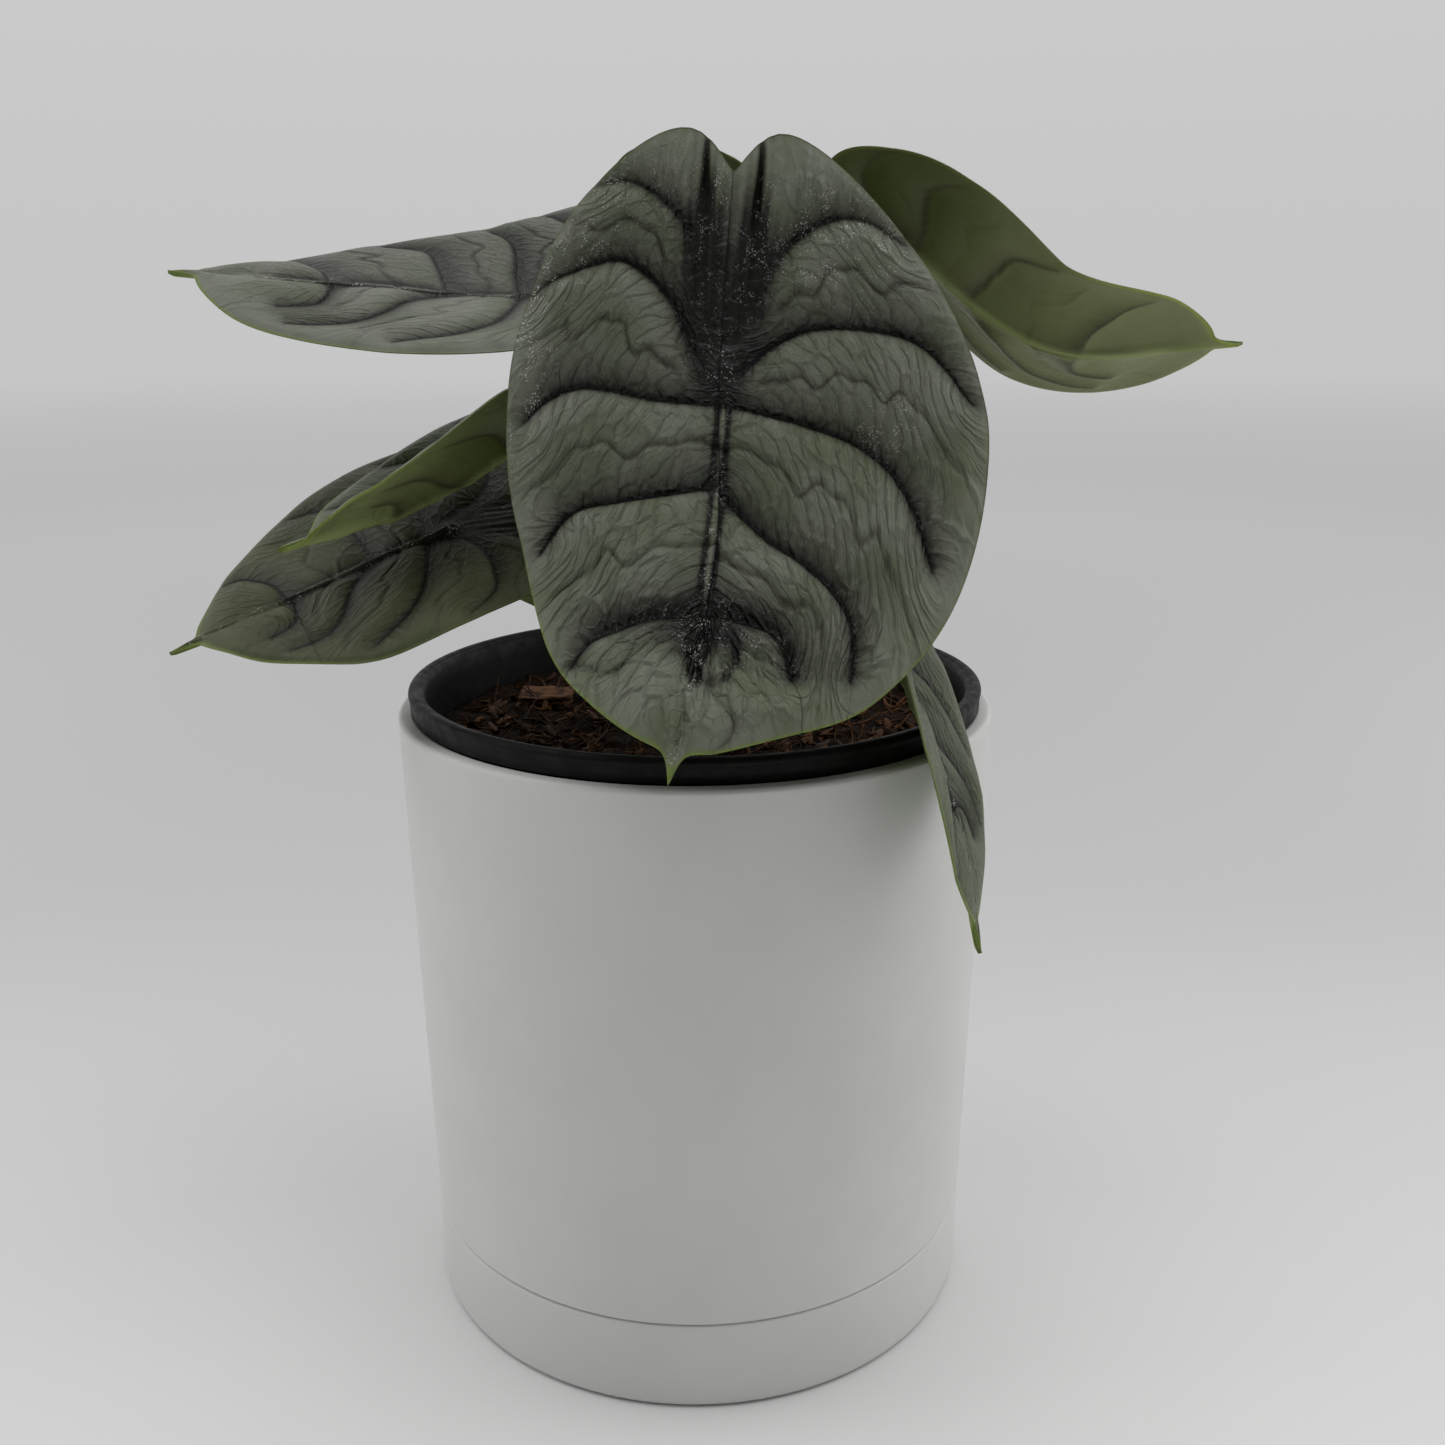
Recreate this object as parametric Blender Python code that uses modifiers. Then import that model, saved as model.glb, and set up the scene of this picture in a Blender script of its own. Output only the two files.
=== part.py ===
"""Potted alocasia: a seven-leaved plant in its nursery pot, in a white planter with a saucer.

Metres, +Z up.  The pot's axis is Z, the saucer stands on Z = 0 and the front leaf faces -Y.
"""
import math

import bmesh
import bpy
import numpy as np
from mathutils import Euler, Vector

# ---- driving dimensions -------------------------------------------------------------
GAP = 0.0003                 # clearance between pieces that touch
TURN_STEPS = 56              # facets round every turned piece

SAUCER_HEIGHT = 0.0245
SAUCER_BASE_R = 0.0752
SAUCER_TOP_R = 0.0755
SAUCER_WALL = 0.0030
SAUCER_FLOOR = 0.0032

PLANTER_TOP_Z = 0.1650
PLANTER_TOP_R = 0.0785       # outer radius at the rim
PLANTER_WALL = 0.0045
PLANTER_FLOOR = 0.0035
PLANTER_DRAIN_R = 0.0060
EDGE_ROUND = 0.0008

NURSERY_WALL = 0.0012
NURSERY_LIP_HEIGHT = 0.0062  # the rolled lip's skirt, standing on the planter's rim
NURSERY_LIP_BEARING = 0.0016  # how far the lip reaches over the rim
NURSERY_BASE_R = 0.0550
NURSERY_BASE_Z = 0.0300
NURSERY_DRAIN_R = 0.0045
NURSERY_DRAINS = 5

SOIL_BELOW_LIP = 0.0150
CORM_R = 0.0120
CORM_DEPTH = 0.0120
CORM_ABOVE_SOIL = 0.0070

BLADE_THICKNESS = 0.0012
BLADE_GRID = 14              # quads across and along a blade
PETIOLE_RING_R = 0.0082      # circle of the leaf stalks on the corm
PETIOLE_BASE_R = 0.0029
PETIOLE_TOP_R = 0.0019

# ---- sizes that follow --------------------------------------------------------------
PLANTER_FOOT_R = SAUCER_BASE_R - SAUCER_WALL - GAP
PLANTER_FOOT_Z = SAUCER_FLOOR + GAP
PLANTER_SHOULDER_Z = SAUCER_HEIGHT + GAP
PLANTER_IN_R = PLANTER_TOP_R - PLANTER_WALL
NURSERY_LIP_R = PLANTER_IN_R + NURSERY_LIP_BEARING
LIP_Z = PLANTER_TOP_Z + GAP + NURSERY_LIP_HEIGHT
NURSERY_TOP_R = PLANTER_IN_R - GAP - NURSERY_WALL
SOIL_Z = LIP_Z - SOIL_BELOW_LIP
CROWN_Z = SOIL_Z + CORM_ABOVE_SOIL


def over_rim(reach, azimuth_deg, height):
    """A point `reach` outside the planter's rim and `height` above the crown."""
    a = math.radians(azimuth_deg)
    r = PLANTER_TOP_R + reach
    return (r * math.cos(a), r * math.sin(a), height)


# Each leaf: its midrib's route (notch, petiole junction, middle, tip) as points above the
# corm's crown, the way its upper side faces at those points, the half widths on the two
# sides, the taper towards the tip (slim also narrows both ends of a side), the fold of
# each side in degrees at notch, junction and tip (positive folds the side up), and the
# place of its stalk round the corm.
LEAVES = {
    "front": dict(
        route=((0.011, 0.0415 - PLANTER_TOP_R, 0.143), (0.007, 0.0315 - PLANTER_TOP_R, 0.089),
               (0.006, 0.0165 - PLANTER_TOP_R, 0.050), (-0.004, -0.0175 - PLANTER_TOP_R, 0.009)),
        facing=((0, -0.90, 0.30), (0, -0.90, 0.42), (0, -0.88, 0.47), (0, -0.75, 0.66)),
        half=(0.048, 0.061), slim=(0.08, 0.33), taper=0.12, pinch=0.0, notch=0.08,
        notch_width=0.13,
        fold_a=(-8, -6, -10), fold_b=(-8, -6, -10), stalk_deg=-90, approach=0.030),
    "left_high": dict(
        route=((0.004, 0.032, 0.124), (-0.038, 0.016, 0.106), (-0.084, 0.006, 0.107),
               (-0.131, 0.002, 0.112)),
        facing=((0, -0.35, 0.93), (0, -0.35, 0.93), (0, -0.35, 0.93), (0, -0.30, 0.95)),
        half=(0.038, 0.038), taper=0.15, pinch=0.10, notch=0.09, notch_width=0.11,
        fold_a=(16, 12, -14), fold_b=(5, 4, -12), stalk_deg=116, approach=0.060),
    "left_middle": dict(
        route=((-0.022, 0.004, 0.084), (-0.042, -0.006, 0.070), (-0.068, -0.022, 0.056),
               (-0.097, -0.040, 0.049)),
        facing=((-0.35, 0.35, 0.85), (-0.35, 0.35, 0.85), (-0.35, 0.30, 0.85), (-0.3, 0.3, 0.9)),
        half=(0.026, 0.032), taper=0.15, pinch=0.25, notch=0.09, notch_width=0.11,
        fold_a=(50, 56, 50), fold_b=(6, 10, 6), stalk_deg=167, approach=0.012,
        lift=0.85),
    "left_low": dict(
        route=((-0.029, -0.006, 0.052), (-0.061, -0.016, 0.049), (-0.092, -0.026, 0.036),
               (-0.125, -0.040, 0.024)),
        facing=((-0.2, -0.5, 0.85), (-0.2, -0.5, 0.85), (-0.2, -0.5, 0.85), (-0.1, -0.4, 0.9)),
        half=(0.042, 0.036), taper=0.20, pinch=0.38, notch=0.09, notch_width=0.11,
        fold_a=(0, 0, 0), fold_b=(0, 0, -5), stalk_deg=219, approach=0.018),
    "right_high": dict(
        route=((0.029, 0.036, 0.133), (0.053, 0.024, 0.120), (0.090, 0.008, 0.092),
               (0.139, 0.002, 0.094)),
        facing=((0.25, 0.75, 0.60), (0.25, 0.75, 0.60), (0.20, 0.70, 0.70), (0.1, 0.6, 0.8)),
        half=(0.032, 0.036), taper=0.06, pinch=0.0, notch=0.09, notch_width=0.30,
        fold_a=(0, 0, 0), fold_b=(45, 40, 14), stalk_deg=13, approach=0.034),
    "right_low": dict(
        route=((0.030, -0.022, 0.053), over_rim(-0.018, -41.0, 0.0285),
               over_rim(0.011, -49.5, -0.003), over_rim(0.024, -50.0, -0.037)),
        facing=((0.88, -0.3, 0.35), (0.88, -0.3, 0.35), (0.88, -0.35, 0.20), (0.92, -0.3, 0.1)),
        half=(0.020, 0.019), taper=0.08, pinch=0.10, notch=0.09, notch_width=0.11,
        fold_a=(25, 18, 0), fold_b=(20, 26, 6), stalk_deg=-39, approach=0.016),
    "back": dict(
        route=((-0.010, 0.044, 0.146), (-0.007, 0.062, 0.129), (-0.008, 0.092, 0.103),
               (-0.010, 0.124, 0.067)),
        facing=((0, 0.6, 0.8), (0, 0.6, 0.8), (0, 0.7, 0.7), (0, 0.8, 0.6)),
        half=(0.034, 0.026), taper=0.10, pinch=0.10, notch=0.09, notch_width=0.11,
        fold_a=(0, 0, 0), fold_b=(0, 0, 0), stalk_deg=64, approach=0.030),
}

# Loose bark on the soil: distance from the axis, azimuth, length, width, turn.
BARK = ((0.046, -112, 0.013, 0.008, 20), (0.058, -67, 0.011, 0.007, 75),
        (0.050, 150, 0.014, 0.009, -35), (0.054, 60, 0.012, 0.008, 110))
BARK_THICKNESS = 0.0036


# ---- scene and materials ------------------------------------------------------------
def clear_scene():
    for old in list(bpy.data.objects):
        bpy.data.objects.remove(old, do_unlink=True)


def collection(name):
    made = bpy.data.collections.new(name)
    bpy.context.scene.collection.children.link(made)
    return made


def material(name, color, roughness, metallic=0.0):
    mat = bpy.data.materials.new(name)
    mat.use_nodes = True
    shader = mat.node_tree.nodes["Principled BSDF"]
    shader.inputs["Base Color"].default_value = (*color, 1.0)
    shader.inputs["Roughness"].default_value = roughness
    shader.inputs["Metallic"].default_value = metallic
    return mat


def add(name, data, mat, group):
    obj = bpy.data.objects.new(name, data)
    if mat:
        data.materials.append(mat)
    group.objects.link(obj)
    return obj


def smooth(obj):
    for face in obj.data.polygons:
        face.use_smooth = True


# ---- turned pieces ------------------------------------------------------------------
def turned(name, profile, mat, group, closed=True):
    """Turn an (r, z) profile, listed from the top down its outer side, about Z."""
    mesh = bpy.data.meshes.new(name)
    last = len(profile) - 1
    edges = [(i, i + 1) for i in range(last)] + ([(last, 0)] if closed else [])
    mesh.from_pydata([(r, 0.0, z) for r, z in profile], edges, [])
    obj = add(name, mesh, mat, group)
    screw = obj.modifiers.new("Turn", "SCREW")
    screw.steps = screw.render_steps = TURN_STEPS
    screw.use_merge_vertices = True
    screw.merge_threshold = 1e-5
    screw.use_smooth_shade = True
    return obj


def round_edges(obj, width=EDGE_ROUND, segments=2):
    bevel = obj.modifiers.new("Rounded edges", "BEVEL")
    bevel.width = width
    bevel.segments = segments
    bevel.limit_method = "ANGLE"
    bevel.angle_limit = math.radians(40)


def drill(obj, cutters, name, x, y, z, radius):
    """Cut a hole straight down through obj at (x, y, z)."""
    bpy.ops.mesh.primitive_cylinder_add(vertices=16, radius=radius, depth=0.02, location=(x, y, z))
    tool = bpy.context.object
    tool.name = name
    for owner in list(tool.users_collection):
        owner.objects.unlink(tool)
    cutters.objects.link(tool)
    tool.hide_render = True
    tool.display_type = "WIRE"
    hole = obj.modifiers.new(name, "BOOLEAN")
    hole.operation = "DIFFERENCE"
    hole.solver = "EXACT"
    hole.object = tool


def planter_saucer(parts, mat):
    """A shallow dish whose outer wall carries on the planter's line."""
    inner = SAUCER_BASE_R - SAUCER_WALL
    obj = turned("planter_saucer", [
        (SAUCER_TOP_R, SAUCER_HEIGHT), (SAUCER_BASE_R, 0.0), (0.0, 0.0),
        (0.0, SAUCER_FLOOR), (inner, SAUCER_FLOOR), (SAUCER_TOP_R - SAUCER_WALL, SAUCER_HEIGHT),
    ], mat, parts, closed=True)
    round_edges(obj)


def outer_planter(parts, cutters, mat):
    """The white planter: a stepped foot in the saucer and a plain wall up to the rim."""
    foot_in = PLANTER_FOOT_R - PLANTER_WALL
    obj = turned("outer_planter", [
        (PLANTER_TOP_R, PLANTER_TOP_Z), (SAUCER_TOP_R, PLANTER_SHOULDER_Z),
        (PLANTER_FOOT_R, PLANTER_SHOULDER_Z), (PLANTER_FOOT_R, PLANTER_FOOT_Z),
        (0.0, PLANTER_FOOT_Z), (0.0, PLANTER_FOOT_Z + PLANTER_FLOOR),
        (foot_in, PLANTER_FOOT_Z + PLANTER_FLOOR), (foot_in, PLANTER_SHOULDER_Z),
        (PLANTER_IN_R, PLANTER_TOP_Z),
    ], mat, parts, closed=True)
    round_edges(obj)
    drill(obj, cutters, "planter_drain_cutter", 0, 0, PLANTER_FOOT_Z, PLANTER_DRAIN_R)


def nursery_pot(parts, cutters, mat):
    """The thin black pot that hangs in the planter by its rolled lip."""
    half = NURSERY_WALL / 2
    obj = turned("nursery_pot", [
        (NURSERY_LIP_R - half, PLANTER_TOP_Z + GAP), (NURSERY_LIP_R - half, LIP_Z - half),
        (NURSERY_TOP_R + half, LIP_Z - half), (NURSERY_BASE_R, NURSERY_BASE_Z + half),
        (0.0, NURSERY_BASE_Z + half),
    ], mat, parts, closed=False)
    wall = obj.modifiers.new("Wall", "SOLIDIFY")
    wall.thickness = NURSERY_WALL
    wall.offset = 0.0
    wall.use_even_offset = True
    for i in range(NURSERY_DRAINS):
        a = 2 * math.pi * i / NURSERY_DRAINS
        reach = NURSERY_BASE_R * 0.68
        drill(obj, cutters, f"pot_drain_cutter_{i + 1}", reach * math.cos(a),
              reach * math.sin(a), NURSERY_BASE_Z, NURSERY_DRAIN_R)


def pot_inside_r(z):
    """The nursery pot's inner radius at height z."""
    share = (z - NURSERY_BASE_Z) / (LIP_Z - NURSERY_BASE_Z)
    return NURSERY_BASE_R + (NURSERY_TOP_R - NURSERY_BASE_R) * share - NURSERY_WALL / 2


def potting_mix(parts, mat):
    """The soil, with a pit for the corm."""
    low = NURSERY_BASE_Z + NURSERY_WALL + GAP
    pit_r, pit_z = CORM_R + GAP, SOIL_Z - CORM_DEPTH - GAP
    turned("potting_mix", [
        (pot_inside_r(SOIL_Z) - 2 * GAP, SOIL_Z), (pot_inside_r(low) - 4 * GAP, low), (0.0, low),
        (0.0, pit_z), (pit_r, pit_z), (pit_r, SOIL_Z),
    ], mat, parts, closed=True)


def corm(parts, mat):
    """The knobbly stem base that every leaf stalk stands on."""
    obj = turned("corm", [
        (CORM_R, CROWN_Z), (CORM_R, SOIL_Z - CORM_DEPTH), (0.0, SOIL_Z - CORM_DEPTH),
        (0.0, CROWN_Z),
    ], mat, parts, closed=True)
    round_edges(obj, width=EDGE_ROUND)


def bark_chips(parts, mat):
    """Flat chips of bark lying on the soil."""
    for i, (reach, azimuth, length, width, turn) in enumerate(BARK):
        mesh = bpy.data.meshes.new(f"bark_chip_{i + 1}")
        bm = bmesh.new()
        bmesh.ops.create_cube(bm, size=1.0)
        bmesh.ops.scale(bm, vec=(length, width, BARK_THICKNESS), verts=bm.verts)
        bm.to_mesh(mesh)
        bm.free()
        obj = add(f"bark_chip_{i + 1}", mesh, mat, parts)
        a = math.radians(azimuth)
        obj.location = (reach * math.cos(a), reach * math.sin(a),
                        SOIL_Z + GAP + BARK_THICKNESS / 2)
        obj.rotation_euler = Euler((0, 0, math.radians(turn)))
        round_edges(obj, width=0.0010)


# ---- leaves -------------------------------------------------------------------------
def unit(v):
    return v / np.linalg.norm(v, axis=-1, keepdims=True)


def ease(x):
    x = np.clip(x, 0.0, 1.0)
    return x * x * (3 - 2 * x)


def through(points, samples=60):
    """A smooth curve through the points, its running length, and the length at each point."""
    p = np.array(points, dtype=float)
    q = np.vstack([2 * p[0] - p[1], p, 2 * p[-1] - p[-2]])
    runs = []
    for a, b, c, d in zip(q[:-3], q[1:-2], q[2:-1], q[3:]):
        t = np.linspace(0, 1, samples, endpoint=False)[:, None]
        runs.append(b + 0.5 * t * (c - a + t * (2 * a - 5 * b + 4 * c - d
                                                + t * (3 * b - a - 3 * c + d))))
    line = np.vstack(runs + [p[-1:]])
    length = np.concatenate([[0], np.cumsum(np.linalg.norm(np.diff(line, axis=0), axis=1))])
    return line, length, length[::samples]


def at(s, stations, values):
    values = np.asarray(values, dtype=float)
    return np.stack([np.interp(s, stations, values[:, i]) for i in range(3)], axis=-1)


def blade_points(leaf, x, y):
    """Bend the square -1..1 into the leaf: x runs across it, y from its notch to its tip."""
    across = x * np.sqrt(1 - y * y / 2)
    along = y * np.sqrt(1 - x * x / 2)
    line, length, knots = through([(px, py, pz + CROWN_Z) for px, py, pz in leaf["route"]])
    total = length[-1]
    half = np.where(across > 0, leaf["half"][0], leaf["half"][1])
    slim = leaf.get("slim", (0, 0))
    v = across * half * (1 - leaf["taper"] * along) * (1 - leaf["pinch"] * ease((along - 0.1) / 0.9))
    v = v * (1 - np.where(across > 0, slim[0], slim[1]) * along ** 2)
    u = total / 2 * (1 + along)
    u = u - 0.007 * ease((along - 0.6) / 0.4) * (1 - np.exp(-(across / 0.10) ** 2))
    u = u + leaf["notch"] * total * np.exp(-(across / leaf["notch_width"]) ** 2) * ease(-2 * along - 1)
    s = np.clip(u, 0, total)
    centre = at(s, length, line)
    ahead = unit(at(s, length, np.gradient(line, length, axis=0)))
    up = at(s, knots, unit(np.array(leaf["facing"], dtype=float)))
    up = unit(up - (up * ahead).sum(-1, keepdims=True) * ahead)
    side = np.cross(ahead, up)
    share = s / total
    fold = np.radians(np.where(v > 0, np.interp(share, (0, 0.36, 1), leaf["fold_a"]),
                               np.interp(share, (0, 0.36, 1), leaf["fold_b"])))
    reach, out, rise = np.abs(v), 0.0, 0.0
    for i in range(12):
        bend = fold * ease((i + 0.5) / 12 * reach / 0.006)
        out = out + np.cos(bend) * reach / 12
        rise = rise + np.sin(bend) * reach / 12
    return (centre + side * (np.sign(v) * out)[..., None] + up * rise[..., None]
            + ahead * (u - s)[..., None])


def blade(name, leaf, mat, parts):
    """A leaf blade: a grid bent along its midrib and thickened."""
    mesh = bpy.data.meshes.new(name)
    bm = bmesh.new()
    bmesh.ops.create_grid(bm, x_segments=BLADE_GRID, y_segments=BLADE_GRID, size=1.0)
    flat = np.array([v.co[:2] for v in bm.verts])
    for v, place in zip(bm.verts, blade_points(leaf, flat[:, 0], flat[:, 1])):
        v.co = place
    bm.to_mesh(mesh)
    bm.free()
    obj = add(name, mesh, mat, parts)
    smooth(obj)
    shell = obj.modifiers.new("Thickness", "SOLIDIFY")
    shell.thickness = BLADE_THICKNESS
    shell.offset = 0.0


def petiole(name, leaf, mat, parts):
    """A leaf stalk, from the corm up to the underside of its blade."""
    a = math.radians(leaf["stalk_deg"])
    foot = Vector((PETIOLE_RING_R * math.cos(a), PETIOLE_RING_R * math.sin(a), CROWN_Z + GAP))
    joint = Vector(leaf["route"][1]) + Vector((0, 0, CROWN_Z))
    line, length, knots = through(leaf["route"])
    ahead = Vector(np.gradient(line, length, axis=0)[60]).normalized()
    up = Vector(leaf["facing"][1])
    up = (up - up.dot(ahead) * ahead).normalized()
    head = joint - up * (BLADE_THICKNESS / 2 + 3 * GAP)
    start = foot + Vector((0, 0, PETIOLE_BASE_R))
    lift = Vector((0, 0, (head.z - foot.z) * leaf.get("lift", 0.45)))
    run_in = head - up * leaf["approach"]
    curve = bpy.data.curves.new(name, "CURVE")
    curve.dimensions = "3D"
    curve.bevel_depth = 1.0
    curve.bevel_resolution = 2
    curve.use_fill_caps = True
    count = 14
    spline = curve.splines.new("POLY")
    spline.points.add(count)
    spline.points[0].co = (*foot, 1.0)
    spline.points[0].radius = PETIOLE_BASE_R
    for i in range(count):
        t = i / (count - 1)
        spot = ((1 - t) ** 3 * start + 3 * (1 - t) ** 2 * t * (start + lift)
                + 3 * (1 - t) * t * t * run_in + t ** 3 * head)
        spline.points[i + 1].co = (*spot, 1.0)
        spline.points[i + 1].radius = PETIOLE_BASE_R + (PETIOLE_TOP_R - PETIOLE_BASE_R) * t
    spline.use_smooth = True
    add(name, curve, mat, parts)


# ---- build --------------------------------------------------------------------------
def build():
    clear_scene()
    parts, cutters = collection("potted_alocasia"), collection("cutters")
    white = material("white_planter_plastic", (0.78, 0.79, 0.78), 0.55)
    black = material("black_nursery_plastic", (0.018, 0.018, 0.019), 0.45)
    soil = material("potting_mix", (0.060, 0.028, 0.016), 0.95)
    bark = material("bark", (0.150, 0.070, 0.035), 0.90)
    cork = material("corm_skin", (0.160, 0.110, 0.070), 0.85)
    leaf_green = material("silver_green_leaf", (0.135, 0.165, 0.130), 0.50)
    stalk = material("petiole_green", (0.260, 0.330, 0.130), 0.50)
    planter_saucer(parts, white)
    outer_planter(parts, cutters, white)
    nursery_pot(parts, cutters, black)
    potting_mix(parts, soil)
    corm(parts, cork)
    bark_chips(parts, bark)
    for place, leaf in LEAVES.items():
        blade(f"blade_{place}", leaf, leaf_green, parts)
        petiole(f"petiole_{place}", leaf, stalk, parts)


build()
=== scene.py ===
import math

import bmesh
import bpy
import numpy as np
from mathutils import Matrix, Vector, noise


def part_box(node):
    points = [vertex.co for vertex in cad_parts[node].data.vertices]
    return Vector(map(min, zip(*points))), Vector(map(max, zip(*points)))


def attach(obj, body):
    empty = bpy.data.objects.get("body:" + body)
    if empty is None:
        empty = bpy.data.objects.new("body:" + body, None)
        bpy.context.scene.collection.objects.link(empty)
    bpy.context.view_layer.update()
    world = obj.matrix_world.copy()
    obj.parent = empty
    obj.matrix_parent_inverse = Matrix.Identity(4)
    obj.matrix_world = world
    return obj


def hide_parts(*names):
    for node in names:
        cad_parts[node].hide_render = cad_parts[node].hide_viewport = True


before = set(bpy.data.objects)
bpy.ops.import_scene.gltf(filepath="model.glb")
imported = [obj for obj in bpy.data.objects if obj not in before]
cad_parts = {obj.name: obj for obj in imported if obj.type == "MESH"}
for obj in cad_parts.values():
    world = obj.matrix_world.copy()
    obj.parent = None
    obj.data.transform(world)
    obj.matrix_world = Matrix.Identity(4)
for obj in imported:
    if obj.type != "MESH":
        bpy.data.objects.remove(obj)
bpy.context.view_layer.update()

# ---- Studio ---------------------------------------------------------------------------
# The plant stands on a wide pale floor painted lighter in front of it, with painted shade just
# behind it and painted light whitening it into the distance. The air is brightest behind and
# above and dimmer in front, with soft lamps overhead and at both sides, and the camera looks a
# little down from in front.
FLOOR_R = 9.0
CAMERA_PLACE = (0.0075, -0.376, 0.267)
CAMERA_TILT = 16.2           # degrees below level
CAMERA_ROLL = 0.15

scene = bpy.context.scene
scene.view_settings.view_transform = "Standard"


class Finish:
    """A material, or the air, with a shader fed by constants and by wires from nodes."""

    def __init__(self, name, store=bpy.data.materials, shader="Principled BSDF", **constants):
        self.made = store.new(name)
        self.made.use_nodes = True
        self.tree = self.made.node_tree
        self.shader = self.tree.nodes[shader]
        for key, value in constants.items():
            self.feed(key.replace("_", " "), value)

    def join(self, socket, value):
        """Give a socket a constant, or a wire from another socket."""
        if isinstance(value, bpy.types.NodeSocket):
            self.tree.links.new(value, socket)
        else:
            socket.default_value = value

    def feed(self, key, value):
        self.join(self.shader.inputs[key], value)

    def put(self, kind, links=None, **options):
        """Add a node, with its options and what goes into its sockets."""
        node = self.tree.nodes.new("ShaderNode" + kind)
        for key, value in options.items():
            setattr(node, key, value)
        for key, value in (links or {}).items():
            self.join(node.inputs[key], value)
        return node

    def place(self):
        return self.put("TexCoord").outputs["Object"]

    def field(self, name, kind="Fac"):
        """What the mesh stores at its points under a name."""
        return self.put("Attribute", attribute_name=name).outputs[kind]

    def times(self, a, b, clamp=False):
        return self.put("Math", {0: a, 1: b}, operation="MULTIPLY", use_clamp=clamp).outputs[0]

    def plus(self, a, b):
        return self.put("Math", {0: a, 1: b}, operation="ADD").outputs[0]

    def minus(self, a, b):
        return self.put("Math", {0: a, 1: b}, operation="SUBTRACT").outputs[0]

    def blend(self, share, a, b):
        """Colour a where share is 0 and colour b where it is 1."""
        ends = {key: (*value, 1.0) if isinstance(value, tuple) else value
                for key, value in ((6, a), (7, b))}
        return self.put("Mix", {"Factor": share, **ends}, data_type="RGBA",
                        clamp_factor=True).outputs[2]

    def spread(self, value, low, high, to_low=0.0, to_high=1.0):
        """Stretch the part of a value between low and high over a new range."""
        return self.put("MapRange", {"Value": value, "From Min": low, "From Max": high,
                                     "To Min": to_low, "To Max": to_high},
                        interpolation_type="SMOOTHSTEP").outputs[0]

    def speckle(self, place, scale, detail=3.0, roughness=0.55):
        """Soft noise of a given scale over a place."""
        return self.put("TexNoise", {"Vector": place, "Scale": scale, "Detail": detail,
                                     "Roughness": roughness}).outputs["Fac"]

    def done(self, colour, height, distance, strength):
        """Wire in the colour and a bump, whose height is in metres of distance."""
        bump = self.put("Bump", {"Height": height, "Distance": distance, "Strength": strength})
        self.feed("Normal", bump.outputs[0])
        self.feed("Base Color", colour)
        return self.made


def new_piece(name, mesh, *finishes):
    """Put a mesh in the scene with its finishes."""
    made = bpy.data.objects.new(name, mesh)
    for finish in finishes:
        mesh.materials.append(finish)
    scene.collection.objects.link(made)
    return made


def piece_from(bm, name, finish):
    """A smooth piece from loose faces, closed up with its normals outwards."""
    bmesh.ops.recalc_face_normals(bm, faces=bm.faces)
    for face in bm.faces:
        face.smooth = True
    mesh = bpy.data.meshes.new(name)
    bm.to_mesh(mesh)
    bm.free()
    return new_piece(name, mesh, finish)


def ring(bm, r, height, steps):
    """Points round the Z axis, at one height or at what a function gives there."""
    made = []
    for i in range(steps if r > 1e-6 else 1):
        a = 2 * math.pi * i / steps
        x, y = r * math.cos(a), r * math.sin(a)
        made.append(bm.verts.new((x, y, height(x, y) if callable(height) else height)))
    return made


def join_rings(bm, rings):
    """Faces between each ring and the next; a ring of one point closes to a fan."""
    for upper, lower in zip(rings, rings[1:]):
        steps = max(len(upper), len(lower))
        for i in range(steps):
            j = (i + 1) % steps
            corners = (upper[i % len(upper)], lower[i % len(lower)],
                       lower[j % len(lower)], upper[j % len(upper)])
            bm.faces.new(list(dict.fromkeys(corners)))


def turned(name, profile, finish, steps=256, closed=False):
    """One smooth piece from an (r, z) profile turned about the Z axis."""
    bm = bmesh.new()
    rings = [ring(bm, r, z, steps) for r, z in profile]
    join_rings(bm, rings + rings[:1] if closed else rings)
    return piece_from(bm, name, finish)


def floor_card():
    """Matte pale card with painted light: lighter in front of the plant, painted shade just behind it,
    and whiter far away.
    """
    f = Finish("studio_card", Roughness=0.9, Specular_IOR_Level=0.15)
    place = f.place()
    away = f.put("VectorMath", {0: place}, operation="LENGTH").outputs["Value"]
    depth = f.put("SeparateXYZ", {0: place}).outputs["Y"]
    # Painted light and shade: lighter in front of the plant, darker just behind it, whiter far off.
    near = f.blend(f.spread(depth, -0.18, 0.28), (0.86, 0.86, 0.855),
                   (0.62, 0.62, 0.625))
    near = f.blend(f.spread(away, 0.35, 1.6), near, (0.82, 0.82, 0.822))
    far = f.blend(f.spread(away, 1.2, 6.0), near, (0.985, 0.985, 0.985))
    f.feed("Base Color", far)
    return f.made


floor = turned("studio_floor", [(0, -1e-4), (0.5, -1e-4), (FLOOR_R, -1e-4)], floor_card(), steps=96)


def soft_lamp(name, place, aim, width, height, power):
    """A wide soft lamp at a place, turned towards a point."""
    data = bpy.data.lights.new(name, "AREA")
    data.shape, data.size, data.size_y = "RECTANGLE", width, height
    data.energy = power
    lamp = bpy.data.objects.new(name, data)
    lamp.location = place
    lamp.rotation_euler = (Vector(aim) - Vector(place)).to_track_quat("-Z", "Y").to_euler()
    lamp.visible_camera = False
    scene.collection.objects.link(lamp)


soft_lamp("lamp_above", (0.0, -0.28, 1.20), (0, -0.20, 0.0), 1.1, 0.6, 3.0)
soft_lamp("lamp_left", (-0.95, 0.15, 0.55), (0, 0, 0.12), 0.8, 0.8, 1.5)
soft_lamp("lamp_right", (0.95, 0.15, 0.55), (0, 0, 0.12), 0.8, 0.8, 2.0)

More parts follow.
